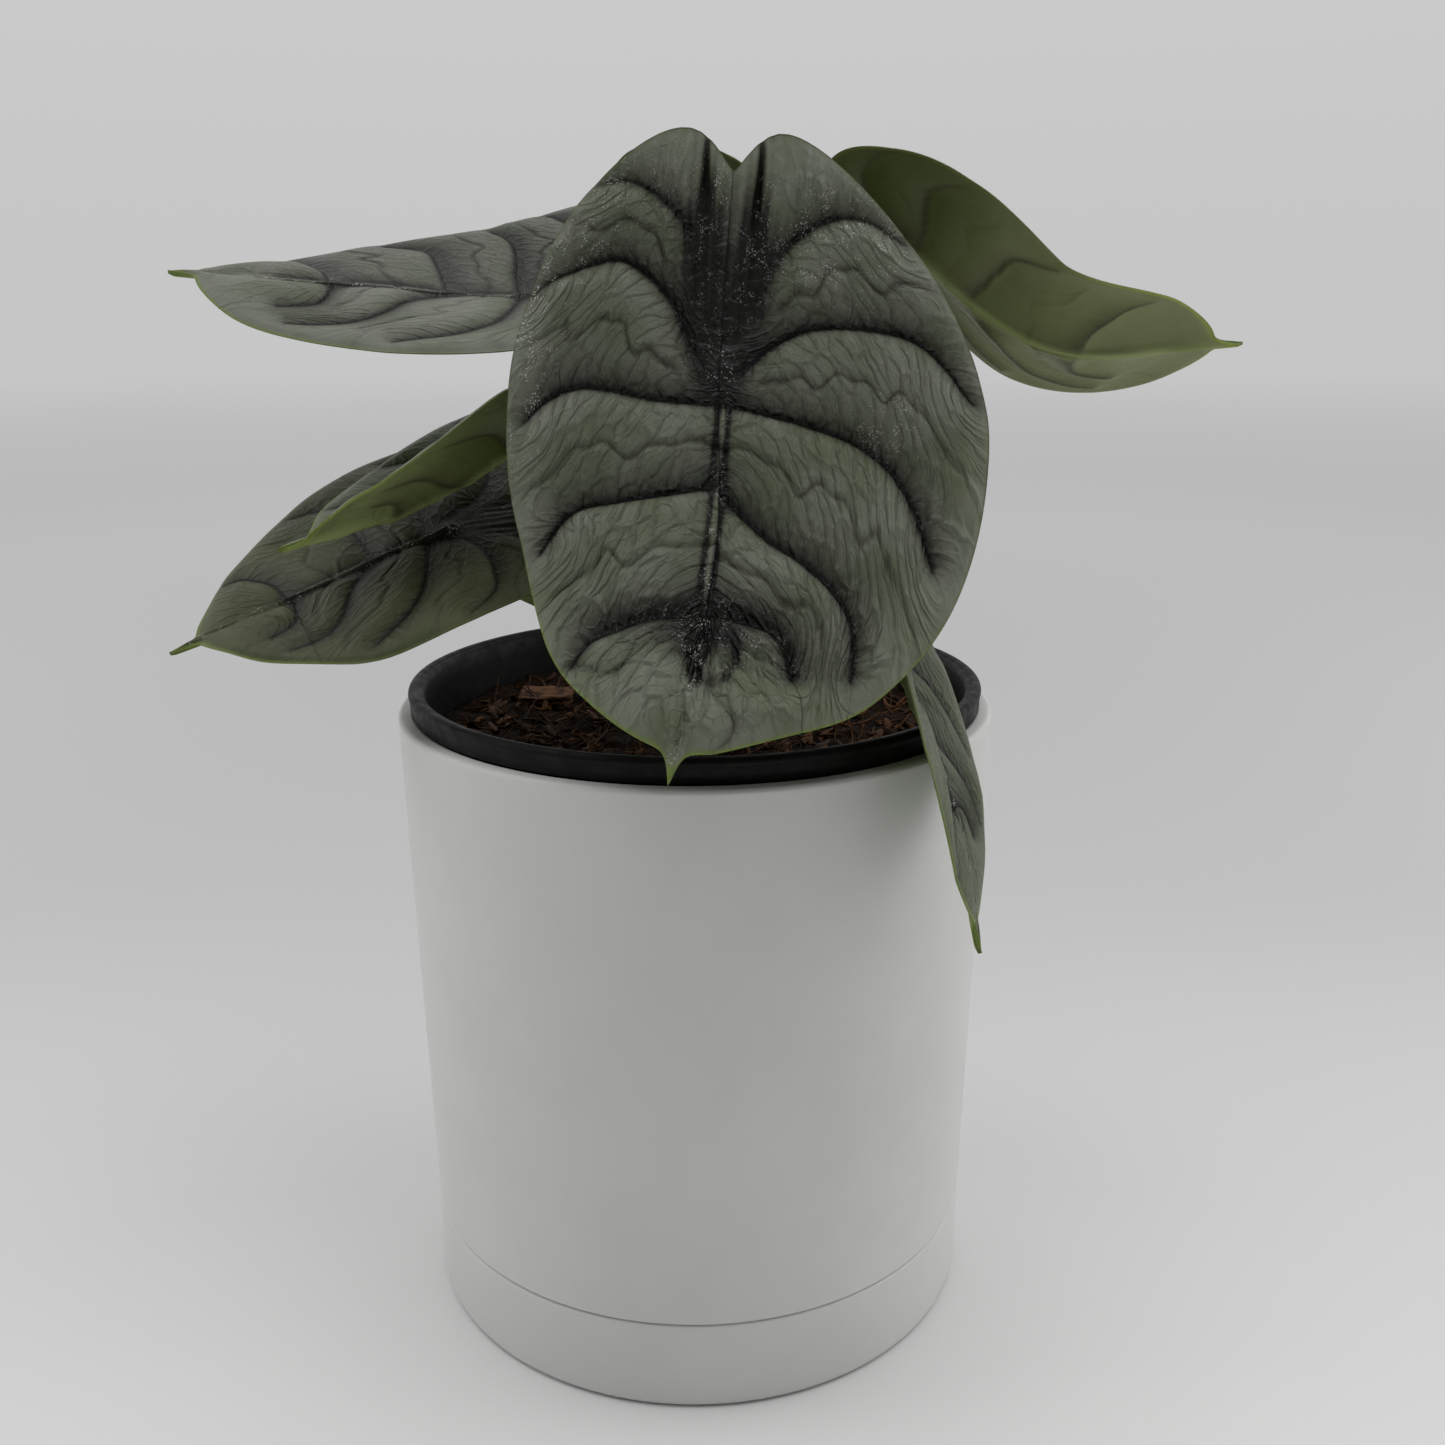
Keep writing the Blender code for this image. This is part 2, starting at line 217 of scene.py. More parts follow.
AIR_BEHIND = 0.61
AIR_IN_FRONT = 0.03
AIR_OVERHEAD = 0.45
sky = Finish("studio_air", bpy.data.worlds, "Background", Color=(1.0, 1.0, 1.0, 1.0))
heading = sky.put("SeparateXYZ", {0: sky.put("TexCoord").outputs["Generated"]}).outputs
around = sky.spread(heading["Y"], -0.9, 0.25, AIR_IN_FRONT, AIR_BEHIND)
climb = sky.plus(sky.spread(heading["Z"], -0.01, 0.30, 0.925, 1.0),
                 sky.spread(heading["Z"], 0.2, 0.9, 0.0, AIR_OVERHEAD))
sky.feed("Strength", sky.times(around, climb))
scene.world = sky.made

lens = bpy.data.cameras.new("camera")
lens.lens, lens.sensor_width, lens.clip_start = 36.0, 36.0, 0.01
camera = bpy.data.objects.new("camera", lens)
camera.location = CAMERA_PLACE
camera.rotation_euler = (math.radians(90 - CAMERA_TILT), math.radians(CAMERA_ROLL), 0)
scene.collection.objects.link(camera)
scene.camera = camera

# ---- Planter and saucer ---------------------------------------------------------------
# A white planter, injection moulded in matte polypropylene with a barely tapered wall.
# Its stepped foot drops into a shallow saucer whose outside carries on the same line.
SEAT_GAP = 0.0003
SAUCER_WALL = 0.0030
SAUCER_FLOOR = 0.0032
PLANTER_WALL = 0.0045
PLANTER_FLOOR = 0.0035
PLANTER_DRAIN_R = 0.0060
RIM_ROUND = 0.0012
FOOT_ROUND = 0.0022

saucer_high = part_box("planter_saucer")[1]
planter_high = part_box("outer_planter")[1]
SAUCER_TOP_R = saucer_high.x
SAUCER_BASE_R = SAUCER_TOP_R - 0.0003
SAUCER_TOP_Z = saucer_high.z
PLANTER_TOP_R = planter_high.x
PLANTER_TOP_Z = planter_high.z
PLANTER_IN_R = PLANTER_TOP_R - PLANTER_WALL


def rounded(corners, steps=7, closed=False):
    """An (r, z) profile from corners (r, z, radius), each rounded with an arc."""
    made = []
    for i, (r, z, radius) in enumerate(corners):
        here = Vector((r, z))
        if radius == 0:
            made.append((r, z))
            continue
        back = (Vector(corners[i - 1][:2]) - here).normalized()
        ahead = (Vector(corners[(i + 1) % len(corners)][:2]) - here).normalized()
        half = back.angle(ahead) / 2
        centre = here + (back + ahead).normalized() * radius / math.sin(half)
        reach = radius / math.tan(half)
        start, end = here + back * reach - centre, here + ahead * reach - centre
        made.append(tuple(here + back * reach * 1.5))
        for k in range(steps + 1):
            made.append(tuple(centre + start.lerp(end, k / steps).normalized() * radius))
        made.append(tuple(here + ahead * reach * 1.5))
    return made


def white_plastic():
    """Matte white plastic: a faint grain from the mould, soft clouding and rare dust."""
    f = Finish("white_matte_plastic", IOR=1.49,
               Specular_IOR_Level=0.42)
    place = f.place()
    clouds = f.speckle(place, 22.0, 4.0)
    base = f.blend(f.spread(clouds, 0.3, 0.7), (0.735, 0.733, 0.722),
                   (0.775, 0.773, 0.763))
    dust = f.spread(f.speckle(place, 900.0, 2.0), 0.73, 0.78)
    base = f.blend(f.times(dust, 0.35), base, (0.50, 0.48, 0.44))
    rough = f.spread(f.speckle(place, 60.0, 5.0), 0.2, 0.8, 0.46, 0.60)
    f.feed("Roughness", rough)
    grain = f.speckle(place, 2600.0, 2.0)
    return f.done(base, grain, 0.00004, 0.5)


planter_plastic = white_plastic()
foot_r = SAUCER_BASE_R - SAUCER_WALL - SEAT_GAP
foot_z = SAUCER_FLOOR + SEAT_GAP
shoulder_z = SAUCER_TOP_Z + SEAT_GAP
saucer_in_r = SAUCER_BASE_R - SAUCER_WALL
saucer = turned("saucer_moulded", rounded([
    (0.0, SAUCER_FLOOR, 0), (saucer_in_r, SAUCER_FLOOR, 0.0004),
    (SAUCER_TOP_R - SAUCER_WALL, SAUCER_TOP_Z, 0.0006), (SAUCER_TOP_R, SAUCER_TOP_Z, 0.0009),
    (SAUCER_BASE_R, 0.0, FOOT_ROUND), (SAUCER_BASE_R - 0.0050, 0.0, 0.0006),
    (SAUCER_BASE_R - 0.0062, 0.0010, 0.0006), (0.0, 0.0010, 0)]), planter_plastic)
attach(saucer, "root")
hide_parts("planter_saucer")

planter = turned("planter_moulded", rounded([
    (PLANTER_DRAIN_R, foot_z, 0.0004), (PLANTER_DRAIN_R, foot_z + PLANTER_FLOOR, 0.0008),
    (foot_r - PLANTER_WALL, foot_z + PLANTER_FLOOR, 0.0012),
    (foot_r - PLANTER_WALL, shoulder_z, 0.0010),
    (PLANTER_IN_R, PLANTER_TOP_Z, RIM_ROUND), (PLANTER_TOP_R, PLANTER_TOP_Z, RIM_ROUND),
    (SAUCER_TOP_R, shoulder_z, 0.0007), (foot_r, shoulder_z, 0.0005),
    (foot_r, foot_z, 0.0012)], closed=True), planter_plastic, closed=True)
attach(planter, "root")
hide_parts("outer_planter")

# ---- Nursery pot ----------------------------------------------------------------------
# The thin black grow pot, vacuum formed in polypropylene, hangs inside the planter by its
# rolled lip. The lip has a round bead outside and a short skirt that stands on the rim.
pot_low, pot_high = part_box("nursery_pot")
LIP_R = pot_high.x
LIP_Z = pot_high.z
POT_WALL = 0.0012
POT_TOP_R = PLANTER_IN_R - SEAT_GAP - POT_WALL
POT_BASE_R = 0.0550
POT_BASE_Z = pot_low.z
POT_DRAINS = 5
POT_DRAIN_R = 0.0045
POT_DRAIN_REACH = 0.68


def black_plastic():
    """Satin black plastic, scuffed on the lip and filmed with dried soil inside."""
    f = Finish("black_pot_plastic", IOR=1.49, Specular_IOR_Level=0.15)
    place = f.place()
    film = f.spread(f.speckle(place, 120.0, 6.0, 0.65), 0.50, 0.75)
    base = f.blend(f.times(film, 0.5), (0.0038, 0.0037, 0.0036),
                   (0.022, 0.018, 0.016))
    rough = f.spread(f.speckle(place, 300.0, 4.0), 0.3, 0.7, 0.42, 0.60)
    f.feed("Roughness", rough)
    return f.done(base, f.speckle(place, 1400.0, 3.0), 0.00006, 0.5)


def wall_r(z):
    """The grow pot's outside radius at a height."""
    return POT_BASE_R + (POT_TOP_R - POT_BASE_R) * (z - POT_BASE_Z) / (LIP_Z - POT_BASE_Z)


BEAD_R = 0.0015
bead = [(LIP_R - BEAD_R + BEAD_R * math.cos(a), LIP_Z - BEAD_R + BEAD_R * math.sin(a))
        for a in np.linspace(math.radians(-40), math.radians(150), 18)]
skirt_z = PLANTER_TOP_Z + SEAT_GAP
pot_outside = [(POT_DRAIN_R * 0.5, POT_BASE_Z), (POT_BASE_R - 0.003, POT_BASE_Z),
               (POT_BASE_R - 0.0008, POT_BASE_Z + 0.0008), (POT_BASE_R, POT_BASE_Z + 0.003)]
pot_outside += [(wall_r(z), z) for z in np.linspace(0.045, LIP_Z - 0.0075, 6)]
lip_skirt = [(wall_r(LIP_Z - 0.0045), LIP_Z - 0.0032), (LIP_R - 0.0016, LIP_Z - 0.0034),
             (LIP_R - 0.0014, skirt_z + 0.0002), (LIP_R - 0.0010, skirt_z),
             (LIP_R - 0.0004, skirt_z + 0.0003), (LIP_R - 0.0003, LIP_Z - BEAD_R * 2.0)]
pot_inside = [(POT_TOP_R - POT_WALL * 0.3, LIP_Z - 0.0006), (POT_TOP_R - POT_WALL, LIP_Z - 0.0022)]
pot_inside += [(wall_r(z) - POT_WALL, z) for z in np.linspace(LIP_Z - 0.006, 0.045, 7)]
pot_inside += [(POT_BASE_R - POT_WALL, POT_BASE_Z + 0.004),
               (POT_BASE_R - 0.004, POT_BASE_Z + POT_WALL), (POT_DRAIN_R * 0.5, POT_BASE_Z + POT_WALL)]
grow_pot = turned("grow_pot_formed", pot_outside + lip_skirt + bead + pot_inside,
                  black_plastic(), closed=True)
for i in range(POT_DRAINS):
    turn = 2 * math.pi * i / POT_DRAINS
    bpy.ops.mesh.primitive_cylinder_add(
        vertices=32, radius=POT_DRAIN_R, depth=0.02,
        location=(POT_BASE_R * POT_DRAIN_REACH * math.cos(turn),
                  POT_BASE_R * POT_DRAIN_REACH * math.sin(turn), POT_BASE_Z))
    punch = bpy.context.object
    hole = grow_pot.modifiers.new("drain", "BOOLEAN")
    hole.operation, hole.solver, hole.object = "DIFFERENCE", "EXACT", punch
    bpy.context.view_layer.objects.active = grow_pot
    bpy.ops.object.modifier_apply(modifier="drain")
    bpy.data.objects.remove(punch, do_unlink=True)
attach(grow_pot, "root")
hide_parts("nursery_pot")

# ---- Potting mix ----------------------------------------------------------------------
# A dark, damp mix of coir and composted bark, poured loose and left lumpy, with short
# orange-brown fibres and slivers standing out of it and lying across it.
SOIL_SURFACE_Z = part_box("potting_mix")[1].z
SOIL_FLOOR_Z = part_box("potting_mix")[0].z
CORM_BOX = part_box("corm")
CORM_R = CORM_BOX[1].x
SOIL_RINGS = 84
SOIL_STEPS = 220
LUMP_RISE = 0.0018
GRIT_RISE = 0.0005
STREWN_R = (0.016, 0.0655)   # between which radii the middles of strips fall
STREWN_MAX_R = 0.0675        # and how far out their ends may reach
SLIVERS = 420
FIBRES = 260
mixer = np.random.default_rng(11)


def soil_height(x, y):
    """The lumpy surface of the mix, heaped a little against the pot's wall."""
    r = math.hypot(x, y)
    lumps = noise.fractal(Vector((x, y, 0.0)) * 95, 0.9, 2.1, 5)
    grit = noise.fractal(Vector((x, y, 7.0)) * 420, 0.7, 2.2, 3)
    heap = 0.0022 * max(0.0, (r - 0.030) / 0.040)
    return SOIL_SURFACE_Z + LUMP_RISE * lumps + GRIT_RISE * grit + heap - 0.0006


def soil_finish():
    """Damp brown mix, near black in its hollows, with rusty flecks of coir."""
    f = Finish("damp_potting_mix", Roughness=0.88,
               Specular_IOR_Level=0.16)
    place = f.place()
    lumps = f.speckle(place, 260.0, 6.0, 0.7)
    base = f.blend(f.spread(lumps, 0.35, 0.65), (0.0030, 0.0016, 0.0009),
                   (0.024, 0.0095, 0.0034))
    flecks = f.spread(f.speckle(place, 700.0, 3.0), 0.60, 0.68)
    base = f.blend(f.times(flecks, 0.6), base, (0.090, 0.036, 0.011))
    return f.done(base, f.speckle(place, 620.0, 6.0, 0.7), 0.0008, 0.8)


def sliver_finish():
    """Coir and bark slivers, each its own brown, streaked along the grain."""
    f = Finish("coir_slivers", Roughness=0.82, Specular_IOR_Level=0.3)
    place = f.place()
    tone = f.field("tone")
    base = f.blend(tone, (0.012, 0.0045, 0.0018), (0.190, 0.078, 0.022))
    streaks = f.spread(f.speckle(place, 1300.0, 4.0), 0.35, 0.7)
    base = f.blend(f.times(streaks, 0.45), base, (0.045, 0.020, 0.009))
    return f.done(base, f.speckle(place, 2400.0, 3.0), 0.0001, 0.6)


def soil_body():
    """The whole plug of mix: a lumpy top, and a plain side and bottom inside the pot."""
    bm = bmesh.new()
    pit_r, edge = CORM_R - 0.0005, wall_r(SOIL_SURFACE_Z) - POT_WALL - 0.0003
    low_r = wall_r(SOIL_FLOOR_Z) - POT_WALL - 0.0006
    pit_z = CORM_BOX[0].z - SEAT_GAP
    rings = [ring(bm, pit_r + (edge - pit_r) * (k / SOIL_RINGS), soil_height, SOIL_STEPS)
             for k in range(SOIL_RINGS + 1)]
    rings += [ring(bm, r, z, SOIL_STEPS) for r, z in (
        (wall_r(0.10) - POT_WALL - 0.0004, 0.10), (low_r, SOIL_FLOOR_Z),
        (0.004, SOIL_FLOOR_Z), (0.004, pit_z), (pit_r, pit_z))]
    join_rings(bm, rings + rings[:1])
    return piece_from(bm, "mix_body", soil_finish())


def piece_of(name, verts, faces, stored, *finishes):
    """A smooth piece from points and faces, with numbers stored at its points."""
    mesh = bpy.data.meshes.new(name)
    mesh.from_pydata(verts, [], faces)
    mesh.shade_smooth()
    for title, values in stored.items():
        values = np.asarray(values, dtype=np.float32)
        kind, key = ("FLOAT", "value") if values.ndim == 1 else ("FLOAT_VECTOR", "vector")
        mesh.attributes.new(title, kind, "POINT").data.foreach_set(key, values.ravel())
    return new_piece(name, mesh, *finishes)


def tube_faces(first, rings, sides):
    """The faces of a tube of rings of points, numbered from first, closed at its ends."""
    faces = []
    for m in range(first, first + (rings - 1) * sides, sides):
        for i in range(sides):
            j = (i + 1) % sides
            faces.append((m + i, m + j, m + sides + j, m + sides + i))
    last = first + (rings - 1) * sides
    return faces + [tuple(reversed(range(first, first + sides))), tuple(range(last, last + sides))]


def strips(name, paths, widths, thick, tones, finish):
    """Thin tapering strips, one for each path, with four sides and closed ends."""
    verts, faces, tone = [], [], []
    for path, width, shade in zip(paths, widths, tones):
        first, count = len(verts), len(path)
        for k, spot in enumerate(path):
            ahead = (path[min(k + 1, count - 1)] - path[max(k - 1, 0)]).normalized()
            side = ahead.cross(Vector((0.13, 0.21, 1.0))).normalized()
            rise = side.cross(ahead)
            taper = math.sin(math.pi * (0.12 + 0.76 * k / (count - 1)))
            for s, t in ((-1, -1), (1, -1), (1, 1), (-1, 1)):
                verts.append(spot + side * s * width * taper / 2 + rise * t * thick * taper / 2)
                tone.append(shade)
        faces += tube_faces(first, count, 4)
    return piece_of(name, verts, faces, {"tone": tone}, finish)


def scattered_strips(name, count, length, width, thick, lift, finish):
    """Strips strewn over the mix: length, width and rise are (least, most)."""
    paths, widths, tones = [], [], []
    while len(paths) < count:
        r = math.sqrt(mixer.uniform(STREWN_R[0] ** 2, STREWN_R[1] ** 2))
        a = mixer.uniform(0, 2 * math.pi)
        x, y = r * math.cos(a), r * math.sin(a)
        heading, curl = mixer.uniform(0, 2 * math.pi), mixer.uniform(-1.2, 1.2)
        long, rise = mixer.uniform(*length), mixer.uniform(*lift)
        spots = []
        for k in range(6):
            t = k / 5 - 0.5
            turn = heading + curl * t
            px, py = x + long * t * math.cos(turn), y + long * t * math.sin(turn)
            ground = soil_height(px, py)
            spots.append(Vector((px, py, ground + 0.0004 + rise * (t + 0.5) ** 2)))
        widest = mixer.uniform(*width)
        shade = mixer.uniform(0.1, 1.0) ** 1.5
        if max(math.hypot(p.x, p.y) for p in spots) < STREWN_MAX_R:
            paths.append(spots)
            widths.append(widest)
            tones.append(shade)
    return strips(name, paths, widths, thick, tones, finish)


mix = soil_body()
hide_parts("potting_mix")
sliver_brown = sliver_finish()
slivers = scattered_strips("mix_slivers", SLIVERS, (0.003, 0.010), (0.0008, 0.0026), 0.0007,
                           (0.0, 0.0025), sliver_brown)
fibres = scattered_strips("mix_fibres", FIBRES, (0.006, 0.017), (0.0002, 0.0005), 0.0003,
                          (0.0005, 0.0085), sliver_brown)
for piece in (mix, slivers, fibres):
    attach(piece, "root")

# ---- Bark chips -----------------------------------------------------------------------
# Four flat flakes of pine bark left lying on the mix, split along their layers, with
# worn corners and a corky face.
CHIP_STEPS = 26


def bark_finish():
    """Layered red-brown cork, greyed on its high spots."""
    f = Finish("pine_bark", Roughness=0.86, Specular_IOR_Level=0.25)
    place = f.place()
    layers = f.put("TexWave", {"Vector": place, "Scale": 160.0, "Distortion": 9.0,
                               "Detail": 4.0, "Detail Scale": 1.4},
                   bands_direction="Z").outputs["Fac"]
    base = f.blend(layers, (0.050, 0.020, 0.009), (0.185, 0.085, 0.040))
    grey = f.spread(f.speckle(place, 380.0, 5.0), 0.55, 0.70)
    base = f.blend(f.times(grey, 0.5), base, (0.210, 0.165, 0.120))
    return f.done(base, f.speckle(place, 900.0, 6.0, 0.7), 0.0005, 0.8)


def bark_flake(name, low, high, seed, finish):
    """A flake that fills a CAD chip's box: a rounded slab with split, uneven edges."""
    centre, half = (low + high) / 2, (high - low) / 2
    bm = bmesh.new()
    bmesh.ops.create_cube(bm, size=2.0)
    bmesh.ops.subdivide_edges(bm, edges=bm.edges, cuts=CHIP_STEPS, use_grid_fill=True)
    for v in bm.verts:
        x, y, z = v.co
        outline = 1 / max(1e-6, (abs(x) ** 5 + abs(y) ** 5) ** 0.2) if max(abs(x), abs(y)) > 0.5 else 1
        outline = min(1.0, outline)
        wander = noise.noise(Vector((x * 1.3, y * 1.3, seed)))
        ragged = 1 - 0.16 * abs(noise.noise(Vector((x * 2.5, y * 2.5, seed + z * 2.2))))
        step = 0.22 * math.floor(2.5 * (noise.noise(Vector((x * 0.9, y * 0.9, seed + 5))) + 0.6)) / 2
        height = z * (0.62 + 0.35 * wander) + (step if z > 0 else 0)
        rough = 0.10 * noise.fractal(Vector((x * 3, y * 3, seed + 9)), 0.8, 2.0, 4)
        v.co = (centre.x + half.x * x * outline * ragged * 0.98,
                centre.y + half.y * y * outline * ragged * 0.98,
                centre.z + half.z * max(-1.0, min(1.15, height + rough)))
    return piece_from(bm, name, finish)


bark_brown = bark_finish()
for i in range(1, 5):
    node = f"bark_chip_{i}"
    flake = bark_flake(f"bark_flake_{i}", *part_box(node), 3.7 * i, bark_brown)
    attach(flake, "root")
    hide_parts(node)

# ---- Corm -----------------------------------------------------------------------------
# The knobbly stem base that all the stalks grow from, ringed with the scars of old leaves
# and papery brown shreds of their sheaths.
def corm_finish():
    """Dull brown skin, darker in the rings, with pale corky patches."""
    f = Finish("corm_skin", Roughness=0.8, Specular_IOR_Level=0.3)
    place = f.place()
    rings = f.put("TexWave", {"Vector": place, "Scale": 115.0, "Distortion": 3.5,
                              "Detail": 3.0}, bands_direction="Z").outputs["Fac"]
    base = f.blend(rings, (0.045, 0.026, 0.014), (0.150, 0.100, 0.060))
    cork = f.spread(f.speckle(place, 300.0, 5.0), 0.5, 0.7)
    base = f.blend(f.times(cork, 0.6), base, (0.240, 0.180, 0.110))
    return f.done(base, f.speckle(place, 700.0, 6.0, 0.7), 0.0006, 0.8)


CROWN_Z = CORM_BOX[1].z
DOME_Z = 0.0105              # the height of the corm's domed crown
SHRED_DROP = 0.0045          # how far below the crown the shreds grow
SHREDS = 16
corm_foot = (CORM_R, CORM_BOX[0].z + 0.010 * (2.2 - math.pi / 2))
corm_dome = [(CORM_R * math.sin(t) ** 0.45, CROWN_Z - DOME_Z + DOME_Z * math.cos(t) ** (1 / 1.6))
             for t in np.linspace(0, math.pi / 2, 40)[:-1]]
corm_piece = turned("corm_ringed", corm_dome + [corm_foot], corm_finish(), steps=120)
for v in corm_piece.data.vertices:
    turn = math.atan2(v.co.y, v.co.x)
    depth = CROWN_Z - v.co.z
    rings = 0.028 * math.sin(depth * 2 * math.pi / 0.0022 + 1.2 * math.sin(2 * turn))
    knobs = 0.05 * noise.noise(v.co * 190)
    v.co.xy = v.co.xy * (0.96 + rings * min(1, depth / 0.002) + knobs)
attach(corm_piece, "root")
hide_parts("corm")


def shred_path(turn, reach, height, lean):
    """One shred of dry sheath: up from the crown's edge and curling outwards."""
    out = Vector((math.cos(turn), math.sin(turn), 0))
    along = Vector((-math.sin(turn), math.cos(turn), 0))
    spots = []
    for t in np.linspace(0, 1, 9):
        z = CROWN_Z - SHRED_DROP + height * math.sin(t * 1.9)
        spots.append(out * (CORM_R * 0.93 + reach * t ** 2) + along * lean * t ** 1.5
                     + Vector((0, 0, z)))
    return spots


shred_paths = [shred_path(2 * math.pi * (i + mixer.uniform(-0.3, 0.3)) / SHREDS,
                          mixer.uniform(0.001, 0.006), mixer.uniform(0.004, 0.010),
                          mixer.uniform(-0.004, 0.004)) for i in range(SHREDS)]
shreds = strips("sheath_shreds", shred_paths, [mixer.uniform(0.0015, 0.0034) for _ in shred_paths],
                0.00035, [mixer.uniform(0.4, 0.9) for _ in shred_paths], sliver_brown)
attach(shreds, "root")

# ---- Leaf blades ----------------------------------------------------------------------
# Thick, stiff blades with a metallic grey-green upper skin, quilted between sunken dark veins,
# with painted shade beside the veins and in the hollows and painted glints on the high spots,
# and an olive underside with raised pale ribs. Each hangs from its stalk at the point where
# the midrib meets the two back lobes.
def over_rim(reach, azimuth_deg, height):
    """A point `reach` outside the planter's rim and `height` above the crown."""
    a = math.radians(azimuth_deg)
    r = PLANTER_TOP_R + reach
    return (r * math.cos(a), r * math.sin(a), height)


def plan(**given):
    """One leaf's sizes, over the ones that most leaves share."""
    shared = dict(slim=(0, 0), pinch=0.10, notch=0.09, notch_width=0.11, fold_b=(0, 0, 0),
                  lift=0.45, steps=200, creased=0.30, dull_side=0.0, under=(0.120, 0.165, 0.055))
    return shared | given


# Each leaf: its midrib's route (notch, stalk, middle, tip) above the crown, the way its
# upper side faces there, the half widths of its two sides, the taper to the tip, how far
# the tip end is pinched in, the folds in degrees, its stalk's place, how deeply it is
# quilted and creased, and its tones: the upper skin and the underside.
LEAVES = {
    "front": plan(
        route=((0.011, 0.0415 - PLANTER_TOP_R, 0.143), (0.007, 0.0315 - PLANTER_TOP_R, 0.089),
               (0.006, 0.0165 - PLANTER_TOP_R, 0.050), (-0.004, -0.0175 - PLANTER_TOP_R, 0.009)),
        facing=((0, -0.90, 0.30), (0, -0.90, 0.42), (0, -0.88, 0.47), (0, -0.75, 0.66)),
        half=(0.048, 0.061), slim=(0.08, 0.33), taper=0.12, pinch=0.0, notch=0.08,
        notch_width=0.13, fold_a=(-8, -6, -10), fold_b=(-8, -6, -10),
        stalk_deg=-90, approach=0.030, steps=280, quilt=1.0, creased=1.0,
        skin=(0.180, 0.197, 0.143)),
    "left_high": plan(
        route=((0.004, 0.032, 0.124), (-0.038, 0.016, 0.106), (-0.084, 0.006, 0.107),
               (-0.131, 0.002, 0.112)),
        facing=((0, -0.35, 0.93), (0, -0.35, 0.93), (0, -0.35, 0.93), (0, -0.30, 0.95)),
        half=(0.038, 0.038), taper=0.15,
        fold_a=(16, 12, -14), fold_b=(5, 4, -12), stalk_deg=116, approach=0.060, dull_side=0.34,
        quilt=0.52, skin=(0.182, 0.197, 0.152)),
    "left_middle": plan(
        route=((-0.022, 0.004, 0.084), (-0.042, -0.006, 0.070), (-0.068, -0.022, 0.056),
               (-0.097, -0.040, 0.049)),
        facing=((-0.35, 0.35, 0.85), (-0.35, 0.35, 0.85), (-0.35, 0.30, 0.85), (-0.3, 0.3, 0.9)),
        half=(0.026, 0.032), taper=0.15, pinch=0.25,
        fold_a=(50, 56, 50), fold_b=(6, 10, 6), stalk_deg=167, approach=0.012, lift=0.85,
        steps=180, quilt=0.5, skin=(0.185, 0.205, 0.150), under=(0.200, 0.235, 0.095)),
    "left_low": plan(
        route=((-0.029, -0.006, 0.052), (-0.061, -0.016, 0.049), (-0.092, -0.026, 0.036),
               (-0.125, -0.040, 0.024)),
        facing=((-0.2, -0.5, 0.85), (-0.2, -0.5, 0.85), (-0.2, -0.5, 0.85), (-0.1, -0.4, 0.9)),
        half=(0.042, 0.036), taper=0.20, pinch=0.38,
        fold_a=(0, 0, 0), fold_b=(0, 0, -5), stalk_deg=219, approach=0.018,
        quilt=0.42, creased=0.25, skin=(0.078, 0.090, 0.038)),
    "right_high": plan(
        route=((0.029, 0.036, 0.133), (0.053, 0.024, 0.120), (0.090, 0.008, 0.092),
               (0.139, 0.002, 0.094)),
        facing=((0.25, 0.75, 0.60), (0.25, 0.75, 0.60), (0.20, 0.70, 0.70), (0.1, 0.6, 0.8)),
        half=(0.029, 0.036), taper=0.06, pinch=0.0, notch_width=0.30,
        fold_a=(0, 0, 0), fold_b=(45, 40, 14), stalk_deg=13, approach=0.034,
        quilt=0.55, creased=0.25, skin=(0.185, 0.205, 0.160), under=(0.185, 0.210, 0.090)),
    "right_low": plan(
        route=((0.030, -0.022, 0.053), over_rim(-0.018, -41.0, 0.0285),
               over_rim(0.011, -49.5, -0.003), over_rim(0.024, -50.0, -0.037)),
        facing=((0.88, -0.3, 0.35), (0.88, -0.3, 0.35), (0.88, -0.35, 0.20), (0.92, -0.3, 0.1)),
        half=(0.020, 0.019), taper=0.08,
        fold_a=(25, 18, 0), fold_b=(20, 26, 6), stalk_deg=-39, approach=0.016,
        steps=160, quilt=0.4, creased=0.35, skin=(0.122, 0.140, 0.086)),
    "back": plan(
        route=((-0.010, 0.044, 0.146), (-0.007, 0.062, 0.129), (-0.008, 0.092, 0.103),
               (-0.010, 0.124, 0.067)),
        facing=((0, 0.6, 0.8), (0, 0.6, 0.8), (0, 0.7, 0.7), (0, 0.8, 0.6)),
        half=(0.034, 0.026), taper=0.10,
        fold_a=(0, 0, 0), stalk_deg=64, approach=0.030,
        steps=180, quilt=0.55, skin=(0.165, 0.190, 0.130), under=(0.130, 0.175, 0.055)),
}
BLADE_THICK = 0.0011
TIP_POINT = 0.007            # how far the tip is drawn out of the rounded outline
TIP_POINT_WIDE = 0.034
MIDRIB_RISE = 0.0009         # how far the midrib stands out below
PATTERN_LENGTH = 151.0       # mm, the length of blade that the veins below were laid on
PATTERN_STALK = 52.5
PATTERN_HALF = (48.0, 61.0)
PATTERN_SLIM = (0.08, 0.33)
PATTERN_TAPER = 0.12

